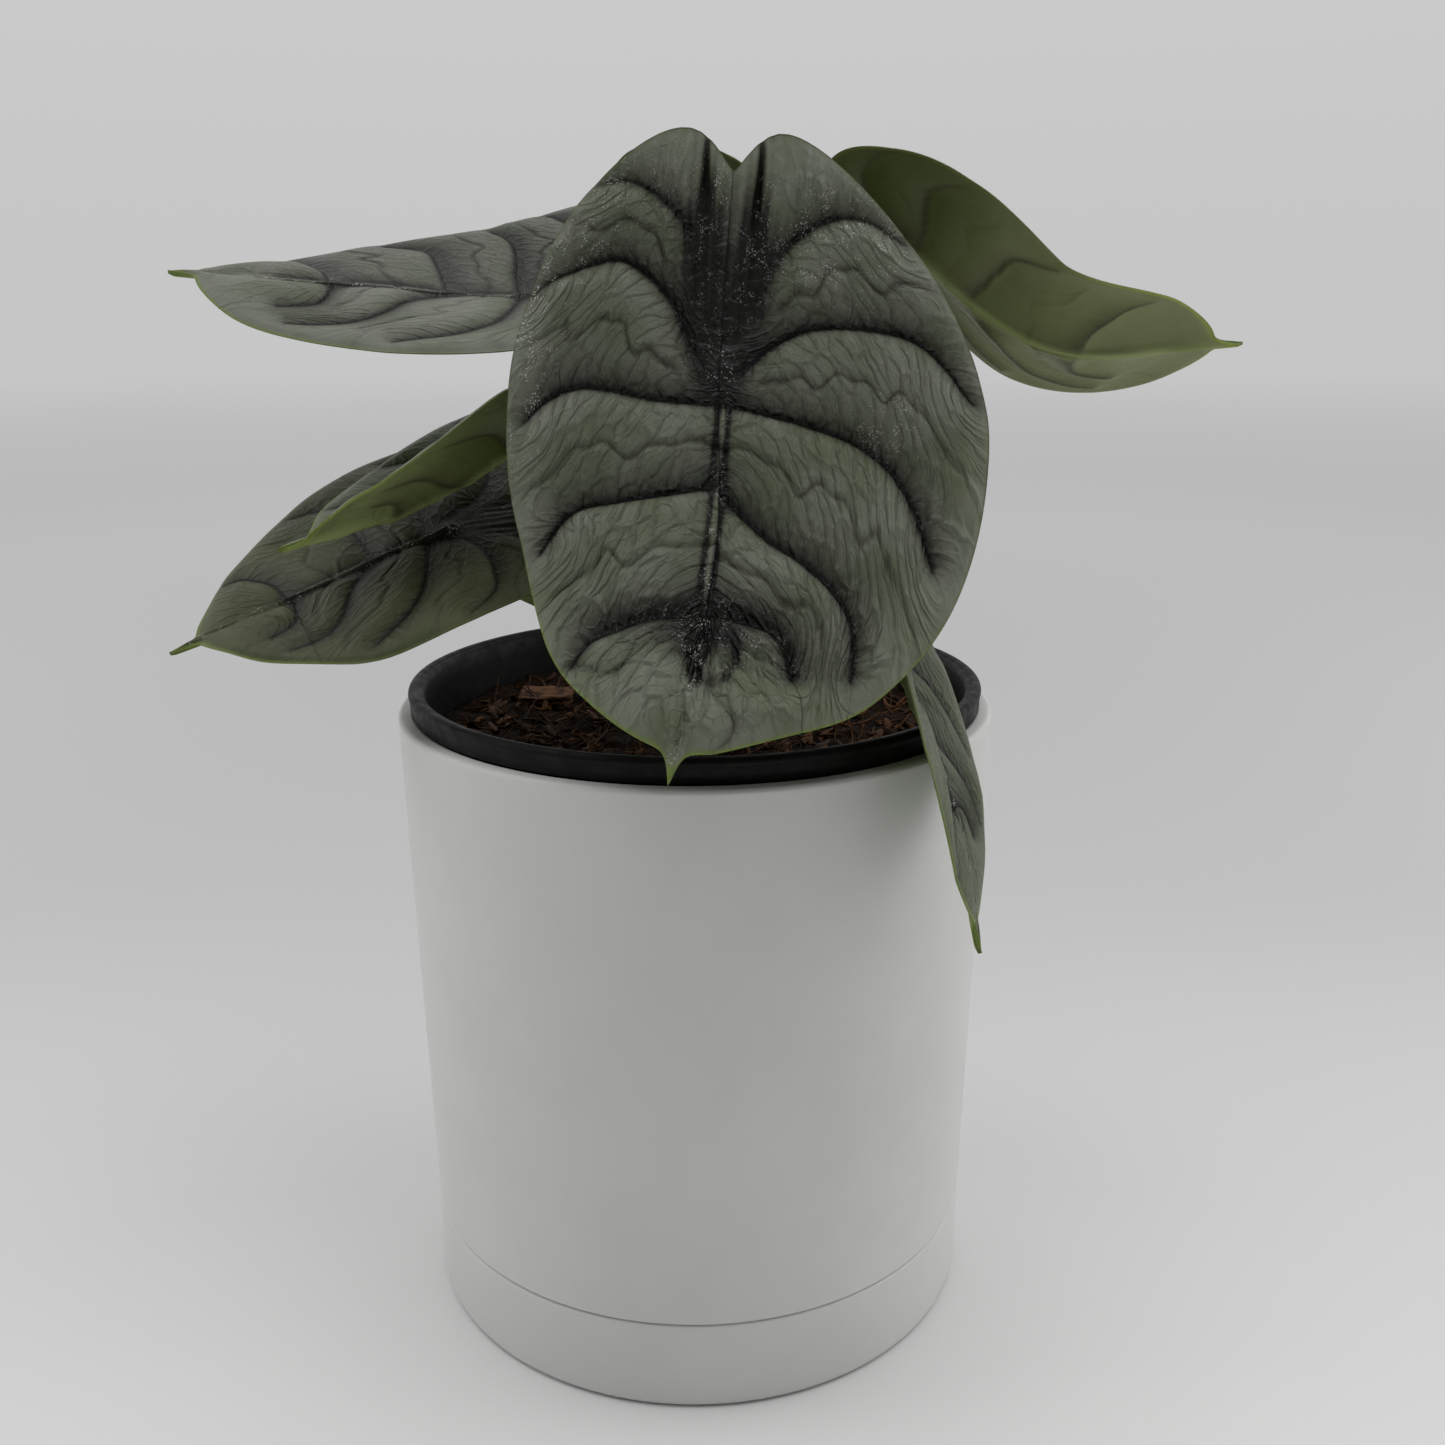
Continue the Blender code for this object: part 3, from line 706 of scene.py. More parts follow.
# Side veins of a blade, from the midrib to the margin, in mm: first how far from the
# notch, then how far from the midrib. The two sides of a blade never quite match.
VEINS_A = (
    ((38, 4.5), (24, 9), (17.5, 15.5), (14.5, 22.5), (15.5, 30)),
    ((53, 3), (47, 7), (38, 12), (31.5, 20.5), (31, 26.5), (35, 37.5), (39, 43)),
    ((60, 1), (59, 13.5), (57, 24), (56.5, 32), (59, 39), (63, 44)),
    ((79, 1), (80.5, 13.5), (82, 23.5), (84, 32), (89, 36.5), (98, 40)),
    ((110, 1), (112.5, 12), (117, 19.5), (121, 24.5), (127, 27)),
)
VEINS_B = (
    ((40.5, 6), (32.5, 8.5), (24.5, 14), (19.5, 21.5), (19, 29.5), (23, 38)),
    ((52.5, 4), (45, 13.5), (42, 21.5), (41.5, 31.5), (43, 42), (48.5, 50), (58, 57)),
    ((60, 1), (62.5, 11.5), (65, 20.5), (69, 30.5), (74, 37.5), (80.5, 43), (92, 49)),
    ((82, 1), (90, 10.5), (94, 19), (98.5, 26.5), (104, 31.5), (110.5, 33.5), (117, 34)),
    ((109, 1), (109.5, 9), (111, 15.5), (114.5, 19), (120, 21)),
)
MIDRIB = ((50, 0), (60, -0.8), (72, 0), (86, 1), (99, 1.3), (111, 0.5), (122, 0), (150, 0))
DOME_RISE = 4.6              # mm, from the sunken veins to the tops of the quilting
SLOPE, SLOPE_LEAN = 4.6, 2.4     # mm, the quilting's slope, and its lean to the notch side
HALO, HALO_LEAN = 3.9, 2.9       # mm, the dark beside a vein, partly its own colour and partly painted shade, and the lean of that painted shade to the notch side
RUNG_GAP = 3.7               # mm between the creases that cross a panel
FAR_OFF = 60.0               # mm, added to the veins of the other side
COSTA_A = ((53, 0.5), (41, 3.5), (27, 5.0), (15, 5.5), (2, 6.5))
COSTA_B = ((53, -0.5), (41, -4), (27, -5.5), (15, -5.5), (2, -6))


def unit(v):
    return v / np.linalg.norm(v, axis=-1, keepdims=True)


def ease(x):
    x = np.clip(x, 0.0, 1.0)
    return x * x * (3 - 2 * x)


def bell(x):
    return np.exp(-x * x)


def through(points, samples=60):
    """A smooth curve through the points, its running length, and the length at each point."""
    p = np.array(points, dtype=float)
    q = np.vstack([2 * p[0] - p[1], p, 2 * p[-1] - p[-2]])
    runs = []
    for a, b, c, d in zip(q[:-3], q[1:-2], q[2:-1], q[3:]):
        t = np.linspace(0, 1, samples, endpoint=False)[:, None]
        runs.append(b + 0.5 * t * (c - a + t * (2 * a - 5 * b + 4 * c - d
                                                + t * (3 * b - a - 3 * c + d))))
    line = np.vstack(runs + [p[-1:]])
    length = np.concatenate([[0], np.cumsum(np.linalg.norm(np.diff(line, axis=0), axis=1))])
    return line, length, length[::samples]


def at(s, stations, values):
    values = np.asarray(values, dtype=float)
    return np.stack([np.interp(s, stations, values[:, i]) for i in range(3)], axis=-1)


def side_width(leaf, across, along):
    """The half width of a blade, on the side and at the place along it that is asked for."""
    slim = leaf["slim"]
    half = np.where(across > 0, leaf["half"][0], leaf["half"][1])
    half = half * (1 - leaf["taper"] * along) * (1 - leaf["pinch"] * ease((along - 0.1) / 0.9))
    return half * (1 - np.where(across > 0, slim[0], slim[1]) * along ** 2)


def lay_blade(leaf, x, y):
    """Bend the square -1..1 into the leaf: the points and their normals, and the flat
    place of each: u from the notch along the midrib, v across it."""
    across = x * np.sqrt(1 - y * y / 2)
    along = y * np.sqrt(1 - x * x / 2)
    line, length, knots = through([(px, py, pz + CROWN_Z) for px, py, pz in leaf["route"]])
    total = length[-1]
    v = across * side_width(leaf, across, along)
    u = total / 2 * (1 + along)
    u = u - TIP_POINT * ease((along - 0.6) / 0.4) * (
        1 - np.exp(-(np.abs(across) / TIP_POINT_WIDE) ** 1.2))
    cut = np.exp(-(np.abs(across) / leaf["notch_width"]) ** 1.35)
    u = u + leaf["notch"] * total * cut * ease(-2 * along - 1)
    s = np.clip(u, 0, total)
    centre = at(s, length, line)
    ahead = unit(at(s, length, np.gradient(line, length, axis=0)))
    up = at(s, knots, unit(np.array(leaf["facing"], dtype=float)))
    up = unit(up - (up * ahead).sum(-1, keepdims=True) * ahead)
    side = np.cross(ahead, up)
    share = s / total
    fold = np.radians(np.where(v > 0, np.interp(share, (0, 0.36, 1), leaf["fold_a"]),
                               np.interp(share, (0, 0.36, 1), leaf["fold_b"])))
    reach, out, rise, bend = np.abs(v), 0.0, 0.0, 0.0
    for i in range(12):
        bend = fold * ease((i + 0.5) / 12 * reach / 0.006)
        out = out + np.cos(bend) * reach / 12
        rise = rise + np.sin(bend) * reach / 12
    sign = np.sign(v)
    points = (centre + side * (sign * out)[..., None] + up * rise[..., None]
              + ahead * (u - s)[..., None])
    normals = unit(up * np.cos(bend)[..., None] - side * (sign * np.sin(bend))[..., None])
    return points, normals, u, v, across, along, knots


def fitted(leaf, knots, route, sign):
    """A vein laid out on the pattern blade, moved onto this blade's own outline, in mm."""
    route = np.array(route, dtype=float)
    u, v = route[:, 0], np.abs(route[:, 1])
    pattern = 2 * u / PATTERN_LENGTH - 1
    which = 0 if sign > 0 else 1
    full = (PATTERN_HALF[which] * (1 - PATTERN_TAPER * pattern)
            * (1 - PATTERN_SLIM[which] * pattern ** 2) * np.sqrt(1 - pattern ** 2))
    share = np.clip(v / full, 0, 0.99)
    total = knots[-1] * 1000
    here = np.interp(u, (0, PATTERN_STALK, PATTERN_LENGTH), (0, knots[1] * 1000, total))
    along = 2 * here / total - 1
    width = side_width(leaf, np.full(along.shape, sign), along) * 1000
    return np.stack([here, sign * share * width * np.sqrt(np.clip(1 - along ** 2, 0, 1))], axis=-1)


def nearest(route, u, v):
    """How far each place is from a vein, how far along the vein, counting on straight
    past its end, and on which side."""
    line, length, _ = through(route, samples=7)
    best = np.full(u.shape, 1e9)
    run, total, lead = np.zeros(u.shape), np.zeros(u.shape), np.zeros(u.shape)
    for (au, av), (bu, bv), start in zip(line[:-1], line[1:], length):
        du, dv = bu - au, bv - av
        along = ((u - au) * du + (v - av) * dv) / (du * du + dv * dv)
        t = np.clip(along, 0, 1)
        if start == length[-2]:
            along = np.maximum(along, 0)
        else:
            along = t
        gap = np.hypot(u - (au + du * t), v - (av + dv * t))
        closer = gap < best
        best = np.where(closer, gap, best)
        weight = math.hypot(du, dv) / (gap * gap + 0.3) ** 2
        run = run + weight * (start + along * math.hypot(du, dv))
        total = total + weight
        lead = np.where(closer, u - (au + du * along), lead)
    return best, run / total, lead


def swell(u, v, scale, seed):
    """Smooth random swelling between -1 and 1, a few scale lengths across."""
    total = np.zeros(u.shape)
    for k in range(5):
        a, b = math.sin(seed * 3.1 + k * 2.4), math.cos(seed * 1.7 + k * 2.4)
        total = total + np.sin((u * a + v * b) / scale * (1 + 0.23 * k) + 1.9 * k + seed)
    return total / 5


def quilt(leaf, knots, u, v, across, along, seed):
    """The blade's relief in mm, its dark veins with painted shade beside them and in its hollows,
    the places of its ladder of fine creases and how firm they are, and how far each place is
    from the margin, midrib and back ribs."""
    u, v = u * 1000, v * 1000
    stalk_u, tip_u = knots[1] * 1000, knots[-1] * 1000
    size = leaf["half"][0] * 1000 / PATTERN_HALF[0] * 0.5 + 0.5
    margin = (1 - np.hypot(across, along)) * side_width(leaf, across, along) * 1000
    spine_gap, _, _ = nearest(fitted_midrib(knots), u, v)
    costa = np.minimum(nearest(fitted(leaf, knots, COSTA_A, 1), u, v)[0],
                       nearest(fitted(leaf, knots, COSTA_B, -1), u, v)[0])
    gaps, runs, leads, shares, seams = [], [], [], [], np.zeros(u.shape)
    for routes, sign in ((VEINS_A, 1), (VEINS_B, -1)):
        other_side = v * sign < -0.5
        for route in routes:
            line = fitted(leaf, knots, route, sign)
            gap, run, lead = nearest(line, u, v)
            share = np.clip(run / through(line)[1][-1], 0, 1)
            gaps.append(gap + np.where(other_side, FAR_OFF, 0.0))
            runs.append(run)
            leads.append(lead)
            shares.append(share)
            past_end = (share > 0.98) * ~other_side
            seams = np.maximum(seams, bell(lead / (2.5 * size)) * past_end)
    gaps, runs, leads, shares = (np.array(k) for k in (gaps, runs, leads, shares))

    # Which panel each place is in, between its low vein and its high one: q runs from 0
    # to 1 across the panel and p along it.
    passed = (leads > 0).reshape(2, -1, *u.shape).sum(axis=1)
    passed = np.where(v > 0, passed[0], passed[1])
    low = np.clip(passed - 1, 0, len(VEINS_A) - 2) + np.where(v > 0, 0, len(VEINS_A))

    def pick(values, which):
        return np.take_along_axis(values, which[None], axis=0)[0]

    gap_low, gap_high = pick(gaps, low), pick(gaps, low + 1)
    panel = gap_low + gap_high
    q = gap_low / (panel + 1e-6)
    p = (1 - q) * pick(runs, low) + q * pick(runs, low + 1)
    end_share = np.minimum(pick(shares, low), pick(shares, low + 1))

    lean = np.clip(-leads / np.maximum(gaps, 0.05), -1, 1)
    slope = (SLOPE + SLOPE_LEAN * lean) * size
    trough = (1.0 + 2.6 * ease((u - 4) / 32)) * size
    domes = np.prod(1 - np.exp(-(gaps / slope) ** 1.2), axis=0)
    domes = domes * (1 - np.exp(-(spine_gap / (3.0 * size)) ** 1.2))
    domes = domes * (1 - np.exp(-(costa / trough) ** 1.2))
    channel = bell(v / (5.5 * size)) * ease((stalk_u - u) / 8) * ease((u - 9) / 14)
    domes = domes * (1 - 0.8 * channel)
    calm = ease(margin / 7.0)
    zigzag = 0.5 + 0.06 * np.sin(p / 2.6 + seed) + 0.04 * np.sin(p / 1.3)
    branch = bell((q - zigzag) * panel / (0.8 * size)) * ease((panel - 9) / 5)
    branch = branch * ease(1 - end_share ** 4)
    swellings = 0.55 * swell(u, v, 9.0, seed) + 0.30 * swell(v, u, 3.5, seed + 2)
    relief = DOME_RISE * (domes - 0.25) - 0.85 * branch * (0.3 + 0.7 * calm) + swellings
    relief = relief * leaf["quilt"] * (0.25 + 0.75 * calm)
    relief = relief + 1.0 * bell(spine_gap / 0.7) * ease((tip_u - u - 14) / 8)
    relief = relief - 0.5 * bell(margin / 1.6)
    grooves = np.sin(2.6 * v + 0.9 * np.sin(0.16 * u))
    grooves = grooves * bell((costa - 1.0) / 3.5) * ease((stalk_u - 4 - u) / 9)
    relief = relief + 0.22 * grooves * leaf["quilt"]

    # The dark is partly the veins' and back ribs' own colour and partly painted shade: it leans onto
    # the slope above each vein and fills the sunken branch lines, grooves, channel and troughs and the
    # sides of the raised midrib.
    fade_out = 0.45 + 0.55 * ease(margin / 12)
    halo = (HALO + HALO_LEAN * lean) * size
    dark = 1 - np.prod(1 - 0.76 * np.exp(-(gaps / halo) ** 1.05) * fade_out, axis=0)
    dark = dark + 0.45 * bell(gaps.min(axis=0) / 0.55) * fade_out + 0.26 * branch
    # Painted shade over one half of some blades.
    dark = dark + leaf["dull_side"] * ease(0.5 + v / 12)
    beside = 0.50 * np.exp(-(spine_gap / 2.6) ** 1.1) + 0.20 * bell(spine_gap / 1.6)
    beside = beside + 0.45 * bell((spine_gap - 1.3) / 0.6) - 0.65 * bell(spine_gap / 0.65)
    dark = dark + beside * ease((tip_u - u - 20) / 12) - 0.13 * grooves + 0.38 * channel
    dark = dark + (0.55 + 0.40 * ease((u - 4) / 22)) * np.exp(-(costa / trough) ** 1.5)

    # Below the lowest veins the creases fan out round the end of the midrib.
    fan_u = u - 0.71 * tip_u
    beyond = passed == len(VEINS_A)
    rung_a = np.where(beyond, 6.5 * np.arctan2(v, fan_u),
                      (p + 4.5 * np.cos(math.pi * q)) / (RUNG_GAP * size))
    rung_b = np.where(beyond, np.hypot(v, fan_u) / (7.5 * size), q * 3.6 + low * 4.0)
    rungs = np.stack([rung_a, rung_b, np.full(u.shape, 3.0 * seed)], axis=-1)
    firm = leaf["creased"] * (0.30 + 0.70 * ease(margin / 5)) * (1 - 0.8 * seams)
    firm = firm * (1 - 0.85 * bell(costa / (4.5 * size)))
    return relief, np.clip(dark, 0, 1), rungs, firm, margin, spine_gap, costa


def fitted_midrib(knots):
    """The midrib's slightly wandering line on this blade, in mm."""
    route = np.array(MIDRIB, dtype=float)
    total = knots[-1] * 1000
    here = np.interp(route[:, 0], (0, PATTERN_STALK, PATTERN_LENGTH), (0, knots[1] * 1000, total))
    return np.stack([here, route[:, 1] * total / PATTERN_LENGTH], axis=-1)


def dimple(u, v):
    """The front blade's sunken pleat where the midrib ends, and the puffed tip below it: the height in
    mm, and the painted shade in the pit, round the knob and in the folds.
    """
    pit = -3.0 * bell((u - 119) / 8) * bell((v + 3) / 8)
    knob = 2.4 * bell((u - 121) / 4.5) * bell((v + 3.5) / 3.0)
    away = np.hypot(u - 114, v + 3)
    turn = np.arctan2(v + 3, u - 114)
    lobe = np.abs(np.sin(2.6 * turn + 0.5 + 0.35 * np.sin(away / 3.0)))
    low_ring = bell((away - 24) / 9) * ease((u - 116) / 12)
    puff = (2.6 * lobe ** 0.6 - 0.6) * low_ring
    fold_ring = bell((away - 11) / 5) * ease((u - 108) / 8)
    fold = np.sin(turn * 19 + 1.6 * np.sin(away / 2.2) + 1.1 * np.sin(turn * 5))
    rim_of_knob = bell((np.hypot((u - 121) / 1.5, v + 3.5) - 4.4) / 1.2)
    dark = 0.62 * bell((u - 115) / 8) * bell((v + 3) / 14) + 0.45 * rim_of_knob
    dark = dark + 0.30 * bell((u - 118) / 6) * bell((v - 13) / 13)
    dark = dark + 0.12 * fold_ring * ease(-fold) + 0.45 * low_ring * (1 - lobe) ** 4
    return pit + knob + puff + 0.35 * fold * fold_ring - 0.8 * rim_of_knob, dark


def ladder_creases(f, flat):
    """Fine creases that cross each panel like rungs, with a finer net between: how deep
    the painted shade in them is, and the height of the skin from 0 in a crease to 1 on the swellings."""
    rungs = f.field("rungs", "Vector")
    wander = f.put("TexNoise", {"Vector": flat, "Scale": 0.16, "Detail": 2.0}).outputs["Color"]
    pushed = f.put("VectorMath", {0: wander, 1: (0.5, 0.5, 0.5)}, operation="SUBTRACT").outputs[0]
    pushed = f.put("VectorMath", {0: pushed, "Scale": 0.65}, operation="SCALE").outputs[0]
    placed = f.put("VectorMath", {0: rungs, 1: pushed}, operation="ADD").outputs[0]
    big = f.put("TexVoronoi", {"Vector": placed, "Scale": 1.0}, feature="DISTANCE_TO_EDGE",
                voronoi_dimensions="2D").outputs["Distance"]
    small = f.put("TexVoronoi", {"Vector": placed, "Scale": 2.1}, feature="DISTANCE_TO_EDGE",
                  voronoi_dimensions="2D").outputs["Distance"]
    firm = f.field("firm")
    crease = f.times(f.spread(big, 0.0, 0.07, 1.0, 0.0), firm)
    swollen = f.plus(f.times(f.spread(big, 0.0, 0.22), 0.80),
                     f.times(f.spread(small, 0.0, 0.16), 0.20))
    return crease, f.times(swollen, firm)


def upper_finish(name, skin, creased):
    """The grey-green metallic upper skin: dark veins with painted shade beside them, creases darkened
    as painted shade, paler flecks, painted glints and a thin green edge.
    """
    f = Finish(name, IOR=1.45, Specular_IOR_Level=0.34)
    flat = f.field("flat_place", "Vector")
    vein = f.field("vein")
    crease, folds = ladder_creases(f, flat)
    edge = f.field("edge")
    glint_mask = f.field("glint_mask")
    clouds = f.speckle(flat, 0.06, 4.0)
    light = (skin[0] * 1.15, skin[1] * 1.13, skin[2] * 1.18)
    green = (skin[0] * 0.78, skin[1] * 0.81, skin[2] * 0.68)
    base = f.blend(f.spread(clouds, 0.35, 0.65), green, light)
    fleck = f.speckle(flat, 2.2, 3.0)
    base = f.blend(f.spread(fleck, 0.50, 0.75, 0.0, 0.35), base, light)
    # Painted shade in the fine creases.
    base = f.blend(f.times(crease, 0.27), base,
                   (skin[0] * 0.30, skin[1] * 0.34, skin[2] * 0.30))
    # Dark veins, partly their own colour and partly painted shade beside them and in the hollows.
    ragged = f.plus(vein, f.spread(f.speckle(flat, 0.7, 5.0, 0.65),
                                   0.3, 0.7, -0.07, 0.07))
    depth = 0.17 - 0.138 * creased
    base = f.blend(f.spread(ragged, 0.04, 0.92), base, tuple(c * depth for c in skin))
    # Painted glints: pale specks in clusters where the glint field allows, with a glossier skin under
    # them.
    cells = f.put("TexVoronoi", {"Vector": flat, "Scale": 4.2}).outputs["Color"]
    lucky = f.put("SeparateColor", {0: cells}).outputs[0]
    clusters = f.spread(f.speckle(flat, 0.35, 2.0), 0.45, 0.62)
    painted_glint = f.times(f.spread(lucky, 0.86, 0.92), glint_mask, clamp=True)
    painted_glint = f.times(painted_glint, clusters)
    base = f.blend(f.times(painted_glint, 0.85), base, (0.70, 0.72, 0.68))
    base = f.blend(edge, base, (0.170, 0.230, 0.050))
    gloss = f.spread(f.speckle(flat, 0.9, 4.0), 0.3, 0.7, 0.40, 0.56)
    gloss = f.minus(gloss, f.times(painted_glint, 0.25))
    gloss = f.minus(gloss, f.times(vein, 0.10))
    f.feed("Roughness", gloss)
    pores = f.speckle(flat, 4.5, 3.0)
    height = f.plus(f.times(pores, 0.12), folds)
    return f.done(base, height, 0.0010, 0.9)


def under_finish(name, tone):
    """The olive underside: raised pale ribs with painted shade beside them, fine netting with painted
    shade in its creases, and darker towards the notch.
    """
    f = Finish(name, IOR=1.45, Specular_IOR_Level=0.35)
    flat = f.field("flat_place", "Vector")
    vein = f.field("vein")
    rib = f.field("rib")
    crease, folds = ladder_creases(f, flat)
    edge = f.field("edge")
    deep = tuple(c * f for c, f in zip(tone, (0.36, 0.43, 0.18)))
    base = f.blend(f.spread(f.speckle(flat, 0.05, 4.0), 0.35, 0.65), tone,
                   tuple(c * 1.15 for c in tone))
    up_blade = f.put("SeparateXYZ", {0: flat}).outputs["X"]
    base = f.blend(f.spread(up_blade, 20.0, 85.0, 1.0, 0.0), base, deep)
    # Painted shade in the fine creases.
    base = f.blend(f.times(crease, 0.25), base, deep)
    base = f.blend(f.spread(vein, 0.10, 0.95, 0.0, 0.80), base,
                   (0.050, 0.050, 0.022))
    base = f.blend(rib, base, tuple(c * f for c, f in zip(tone, (1.55, 1.62, 1.45))))
    base = f.blend(edge, base, (0.330, 0.400, 0.060))
    gloss = f.spread(f.speckle(flat, 0.8, 4.0), 0.3, 0.7, 0.42, 0.58)
    f.feed("Roughness", gloss)
    height = f.minus(f.times(f.speckle(flat, 4.0, 3.0), 0.15), folds)
    return f.done(base, height, 0.00030, 0.6)


def sheet_faces(count, first, flip):
    """Quads of a square sheet of count by count points, numbered from first."""
    i, j = np.meshgrid(np.arange(count - 1), np.arange(count - 1), indexing="ij")
    a = (first + i * count + j).ravel()
    quads = np.stack([a, a + count, a + count + 1, a + 1], axis=-1)
    return quads[:, ::-1] if flip else quads


def ring_of(count, first):
    """The border points of such a sheet, in order round it."""
    grid = first + np.arange(count * count).reshape(count, count)
    return np.concatenate([grid[:-1, 0], grid[-1, :-1], grid[:0:-1, -1], grid[0, :0:-1]])


def make_blade(place, leaf, seed):
    """One blade: a fine upper skin, a coarser underside and the edge that joins them."""
    steps = leaf["steps"]
    grid = np.linspace(-1, 1, steps + 1)
    x, y = np.meshgrid(grid, grid, indexing="ij")
    points, normals, u, v, across, along, knots = lay_blade(leaf, x, y)
    relief, dark, rungs, firm, margin, spine_gap, costa = quilt(leaf, knots, u, v, across,
                                                                along, seed)
    um, vm = u * 1000, v * 1000
    knob = bell((um - knots[1] * 1000) / 2.4) * bell(vm / 2.8)
    relief = relief + 1.3 * knob * leaf["quilt"]
    # Where painted glints may fall: along the midrib, beside the back ribs and on the knob at the
    # stalk.
    glint_mask = 0.9 * bell(spine_gap / 1.3) + 0.35 * bell(costa / 3.0) + knob
    if place == "front":
        # Painted shade in the pleat's pit, round its knob and in its folds, and along the margin
        # except near the tip.
        sink, shadow = dimple(um, vm)
        relief = relief + sink
        shadow = shadow + 0.20 * np.exp(-margin / 4.5) * ease((135 - um) / 30)
        dark = np.clip(dark + shadow, 0, 1)
        # More painted glints on the front blade: along its upper left margin and on three other high
        # spots.
        glint_mask = glint_mask + 1.2 * bell((um - 45) / 30) * bell((margin - 4) / 6) * (vm > 0)
        for power, at_u, reach_u, at_v, reach_v in ((1.1, 25, 12, -25, 14), (0.9, 66, 8, -38, 8),
                                                    (0.8, 116, 9, -3, 16)):
            glint_mask = glint_mask + power * bell((um - at_u) / reach_u) * bell((vm - at_v) / reach_v)
    thin = BLADE_THICK / 2 * np.sqrt(np.clip(margin / 1.5, 0.06, 1))
    top = points + normals * (relief / 1000 + thin)[..., None]
    below = points + normals * (relief / 1000 - thin
                                 - MIDRIB_RISE * bell(spine_gap / 1.5))[..., None]

    def both(field):
        """A field at the points of the upper skin and then at every other one, below."""
        kept = field.shape[2:]
        return np.concatenate([field.reshape(-1, *kept), field[::2, ::2].reshape(-1, *kept)])

    wide, half_wide = steps + 1, steps // 2 + 1
    verts = np.concatenate([top.reshape(-1, 3), below[::2, ::2].reshape(-1, 3)])
    top_faces = sheet_faces(wide, 0, True)
    low_faces = sheet_faces(half_wide, wide * wide, False)
    outer, inner = ring_of(wide, 0), ring_of(half_wide, wide * wide)
    a, b, c = outer[0::2], outer[1::2], np.roll(outer[0::2], -1)
    rim = np.stack([b, a, inner], axis=-1).tolist()
    rim += np.stack([c, b, inner, np.roll(inner, -1)], axis=-1).tolist()
    edge = np.clip(1.15 - margin / 0.55, 0, 1) * (0.25 + 0.75 * ease((u / knots[-1] - 0.5) / 0.35))
    edge = np.maximum(edge, bell(vm / 2.0) * ease((u / knots[-1] - 0.962) / 0.02))
    flat = both(np.stack([um, vm, np.full(u.shape, seed * 50.0)], axis=-1))
    # The vein field holds the veins' own dark colour together with painted shade.
    stored = {"vein": both(dark), "edge": both(edge), "rib": both(bell(spine_gap / 1.6)),
              "glint_mask": both(glint_mask), "firm": both(firm), "flat_place": flat, "rungs": both(rungs)}
    blade = piece_of(f"leaf_{place}", verts.tolist(), top_faces.tolist() + low_faces.tolist() + rim,
                     stored, upper_finish(f"upper_skin_{place}", leaf["skin"], leaf["creased"]),
                     under_finish(f"underside_{place}", leaf["under"]))
    mesh = blade.data
    slots = np.zeros(len(mesh.polygons), dtype=np.int32)
    slots[len(top_faces):len(top_faces) + len(low_faces)] = 1
    mesh.polygons.foreach_set("material_index", slots)

    # The upper skin lies flat in one half of the square map and the underside in the other.
    reach = max(knots[-1] * 1100, 2.2 * max(leaf["half"]) * 1000)
    map_u, map_v = (flat[:, 0] + 6) / reach * 0.96 + 0.01, flat[:, 1] / reach * 0.48 + 0.25
    corners = np.zeros(len(mesh.loops), dtype=np.int32)
    mesh.loops.foreach_get("vertex_index", corners)
    on_under = np.repeat(slots, [p.loop_total for p in mesh.polygons])
    uv = np.stack([map_v[corners] + 0.5 * on_under, map_u[corners]], axis=-1)
    mesh.uv_layers.new(name="OFBake").data.foreach_set("uv", uv.astype(np.float32).ravel())
    return blade


for seed, (place, leaf) in enumerate(LEAVES.items(), start=1):
    blade = make_blade(place, leaf, seed)
    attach(blade, "root")
    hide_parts(f"blade_{place}")

# ---- Leaf stalks ----------------------------------------------------------------------
# Firm round stalks, pale green mottled with brown, swollen at the foot where they clasp
# the corm and a little again where they meet the blade.
STALK_RING_R = 0.0082
STALK_BASE_R = 0.0029
STALK_TOP_R = 0.0019
FOOT_SINK = 0.0012           # how far a stalk's foot stands below the crown
JOINT_DEPTH = 0.0021         # and its head below the blade's middle surface
STALK_SIDES = 28
STALK_RINGS = 90


def stalk_finish():
    """Pale green skin with brown-purple dashes, darker at the foot."""
    f = Finish("mottled_stalk", Roughness=0.45, IOR=1.45,
               Specular_IOR_Level=0.45)
    place = f.place()
    up = f.field("up_stalk")
    base = f.blend(up, (0.130, 0.150, 0.060), (0.230, 0.300, 0.105))
    stretched = f.put("Mapping", {"Vector": place, "Scale": (1.0, 1.0, 0.28)}).outputs[0]
    dashes = f.spread(f.speckle(stretched, 420.0, 4.0), 0.52, 0.62)
    base = f.blend(f.times(dashes, 0.75), base, (0.075, 0.045, 0.032))
    return f.done(base, f.speckle(stretched, 900.0, 3.0), 0.00012, 0.5)


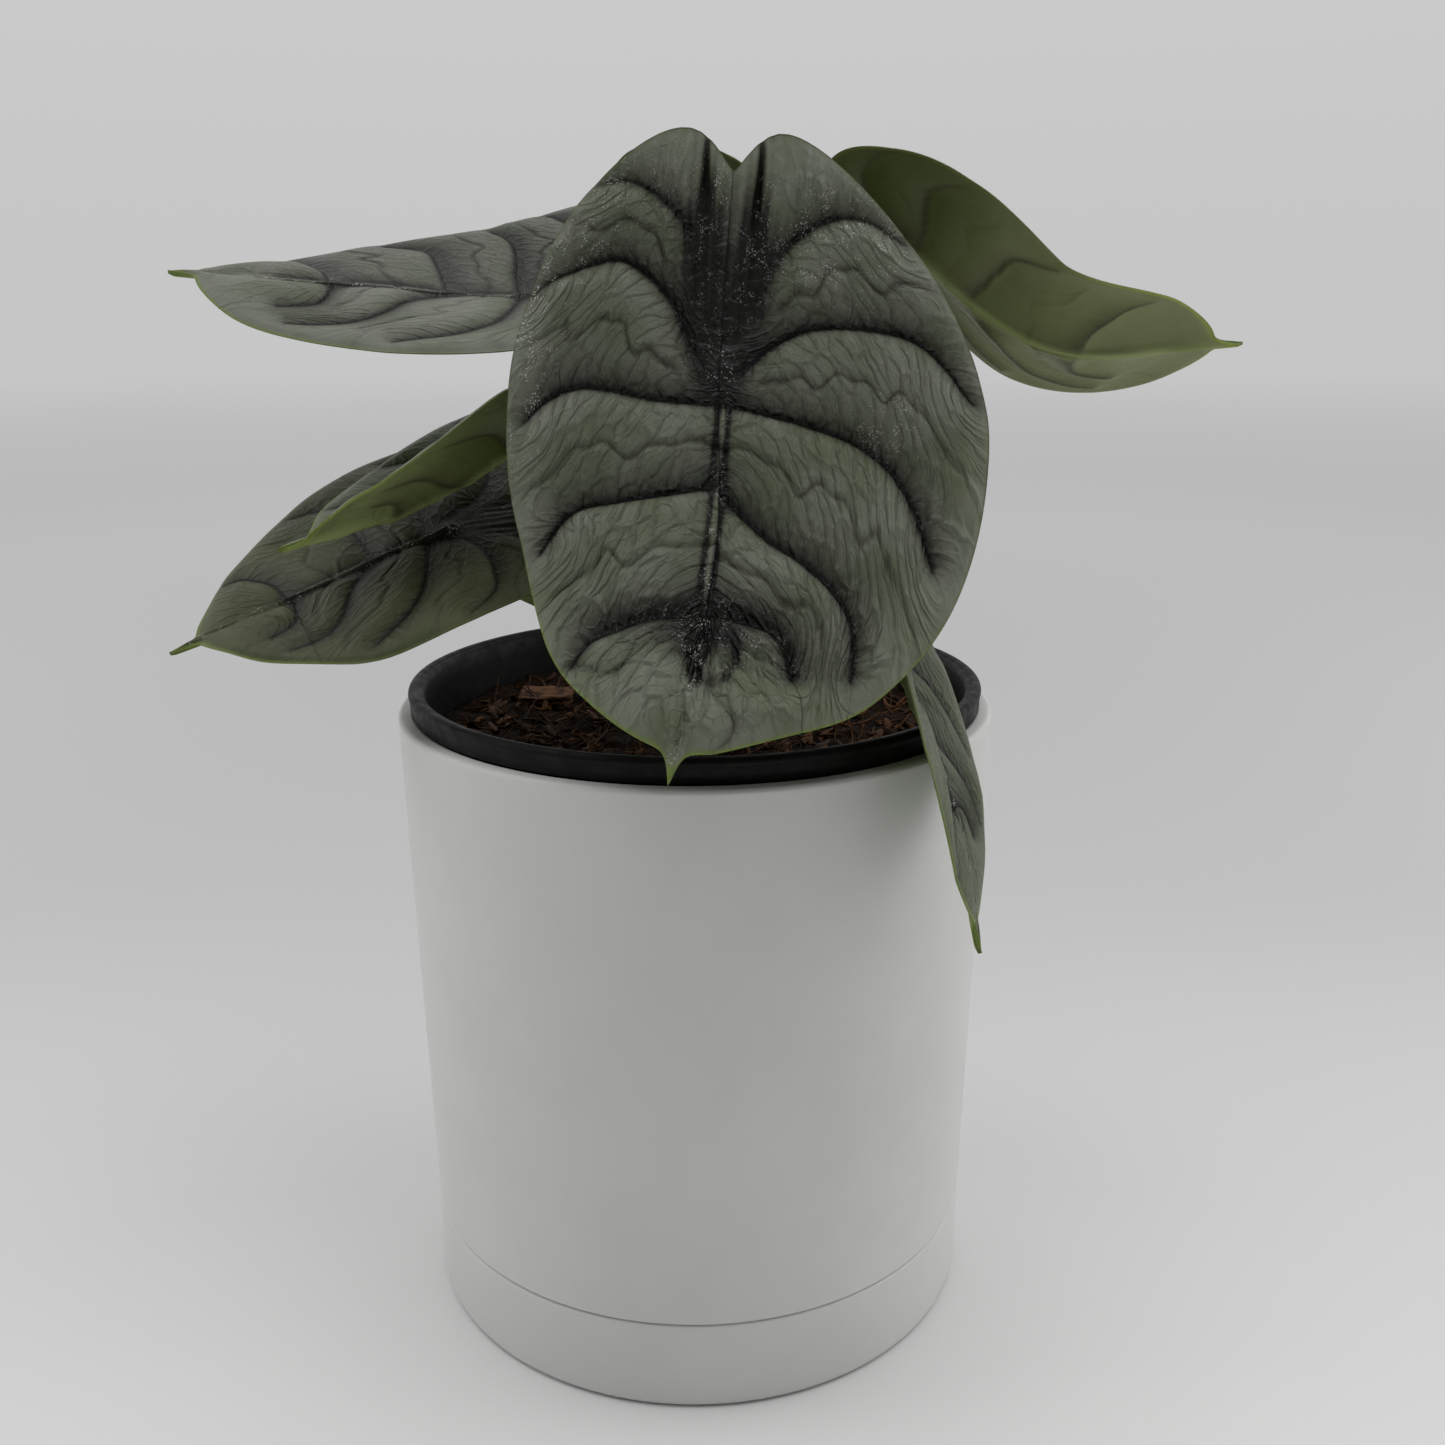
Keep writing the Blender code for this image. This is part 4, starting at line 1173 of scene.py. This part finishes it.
def make_stalk(place, leaf, finish):
    """A tapering stalk from the corm up to the underside of its blade."""
    a = math.radians(leaf["stalk_deg"])
    foot = Vector((STALK_RING_R * math.cos(a), STALK_RING_R * math.sin(a), CROWN_Z - FOOT_SINK))
    joint = Vector(leaf["route"][1]) + Vector((0, 0, CROWN_Z))
    line, length, knots = through(leaf["route"])
    ahead = Vector(np.gradient(line, length, axis=0)[60]).normalized()
    up = Vector(leaf["facing"][1])
    up = (up - up.dot(ahead) * ahead).normalized()
    head = joint - up * JOINT_DEPTH
    start = foot + Vector((0, 0, STALK_BASE_R))
    lift = Vector((0, 0, (head.z - foot.z) * leaf["lift"]))
    run_in = head - up * leaf["approach"]
    verts, climb = [], []
    side = Vector((1, 0, 0))
    spots = [foot]
    for t in [i / (STALK_RINGS - 1) for i in range(STALK_RINGS)]:
        spots.append((1 - t) ** 3 * start + 3 * (1 - t) ** 2 * t * (start + lift)
                     + 3 * (1 - t) * t * t * run_in + t ** 3 * head)
    for k, spot in enumerate(spots):
        t = k / (len(spots) - 1)
        forward = (spots[min(k + 1, len(spots) - 1)] - spots[max(k - 1, 0)]).normalized()
        side = (side - side.dot(forward) * forward).normalized()
        other = forward.cross(side)
        radius = STALK_BASE_R + (STALK_TOP_R - STALK_BASE_R) * t
        radius *= 1 + 0.22 * math.exp(-(t / 0.06) ** 2) + 0.28 * math.exp(-((1 - t) / 0.03) ** 2)
        for i in range(STALK_SIDES):
            b = 2 * math.pi * i / STALK_SIDES
            ribs = 1 + 0.025 * math.cos(5 * b + place.count("l")) + 0.012 * math.sin(11 * b)
            verts.append(spot + (side * math.cos(b) + other * math.sin(b)) * radius * ribs)
            climb.append(t)
    faces = tube_faces(0, len(spots), STALK_SIDES)
    return piece_of(f"stalk_{place}", verts, faces, {"up_stalk": climb}, finish)


stalk_skin = stalk_finish()
for place, leaf in LEAVES.items():
    stalk = make_stalk(place, leaf, stalk_skin)
    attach(stalk, "root")
    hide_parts(f"petiole_{place}")
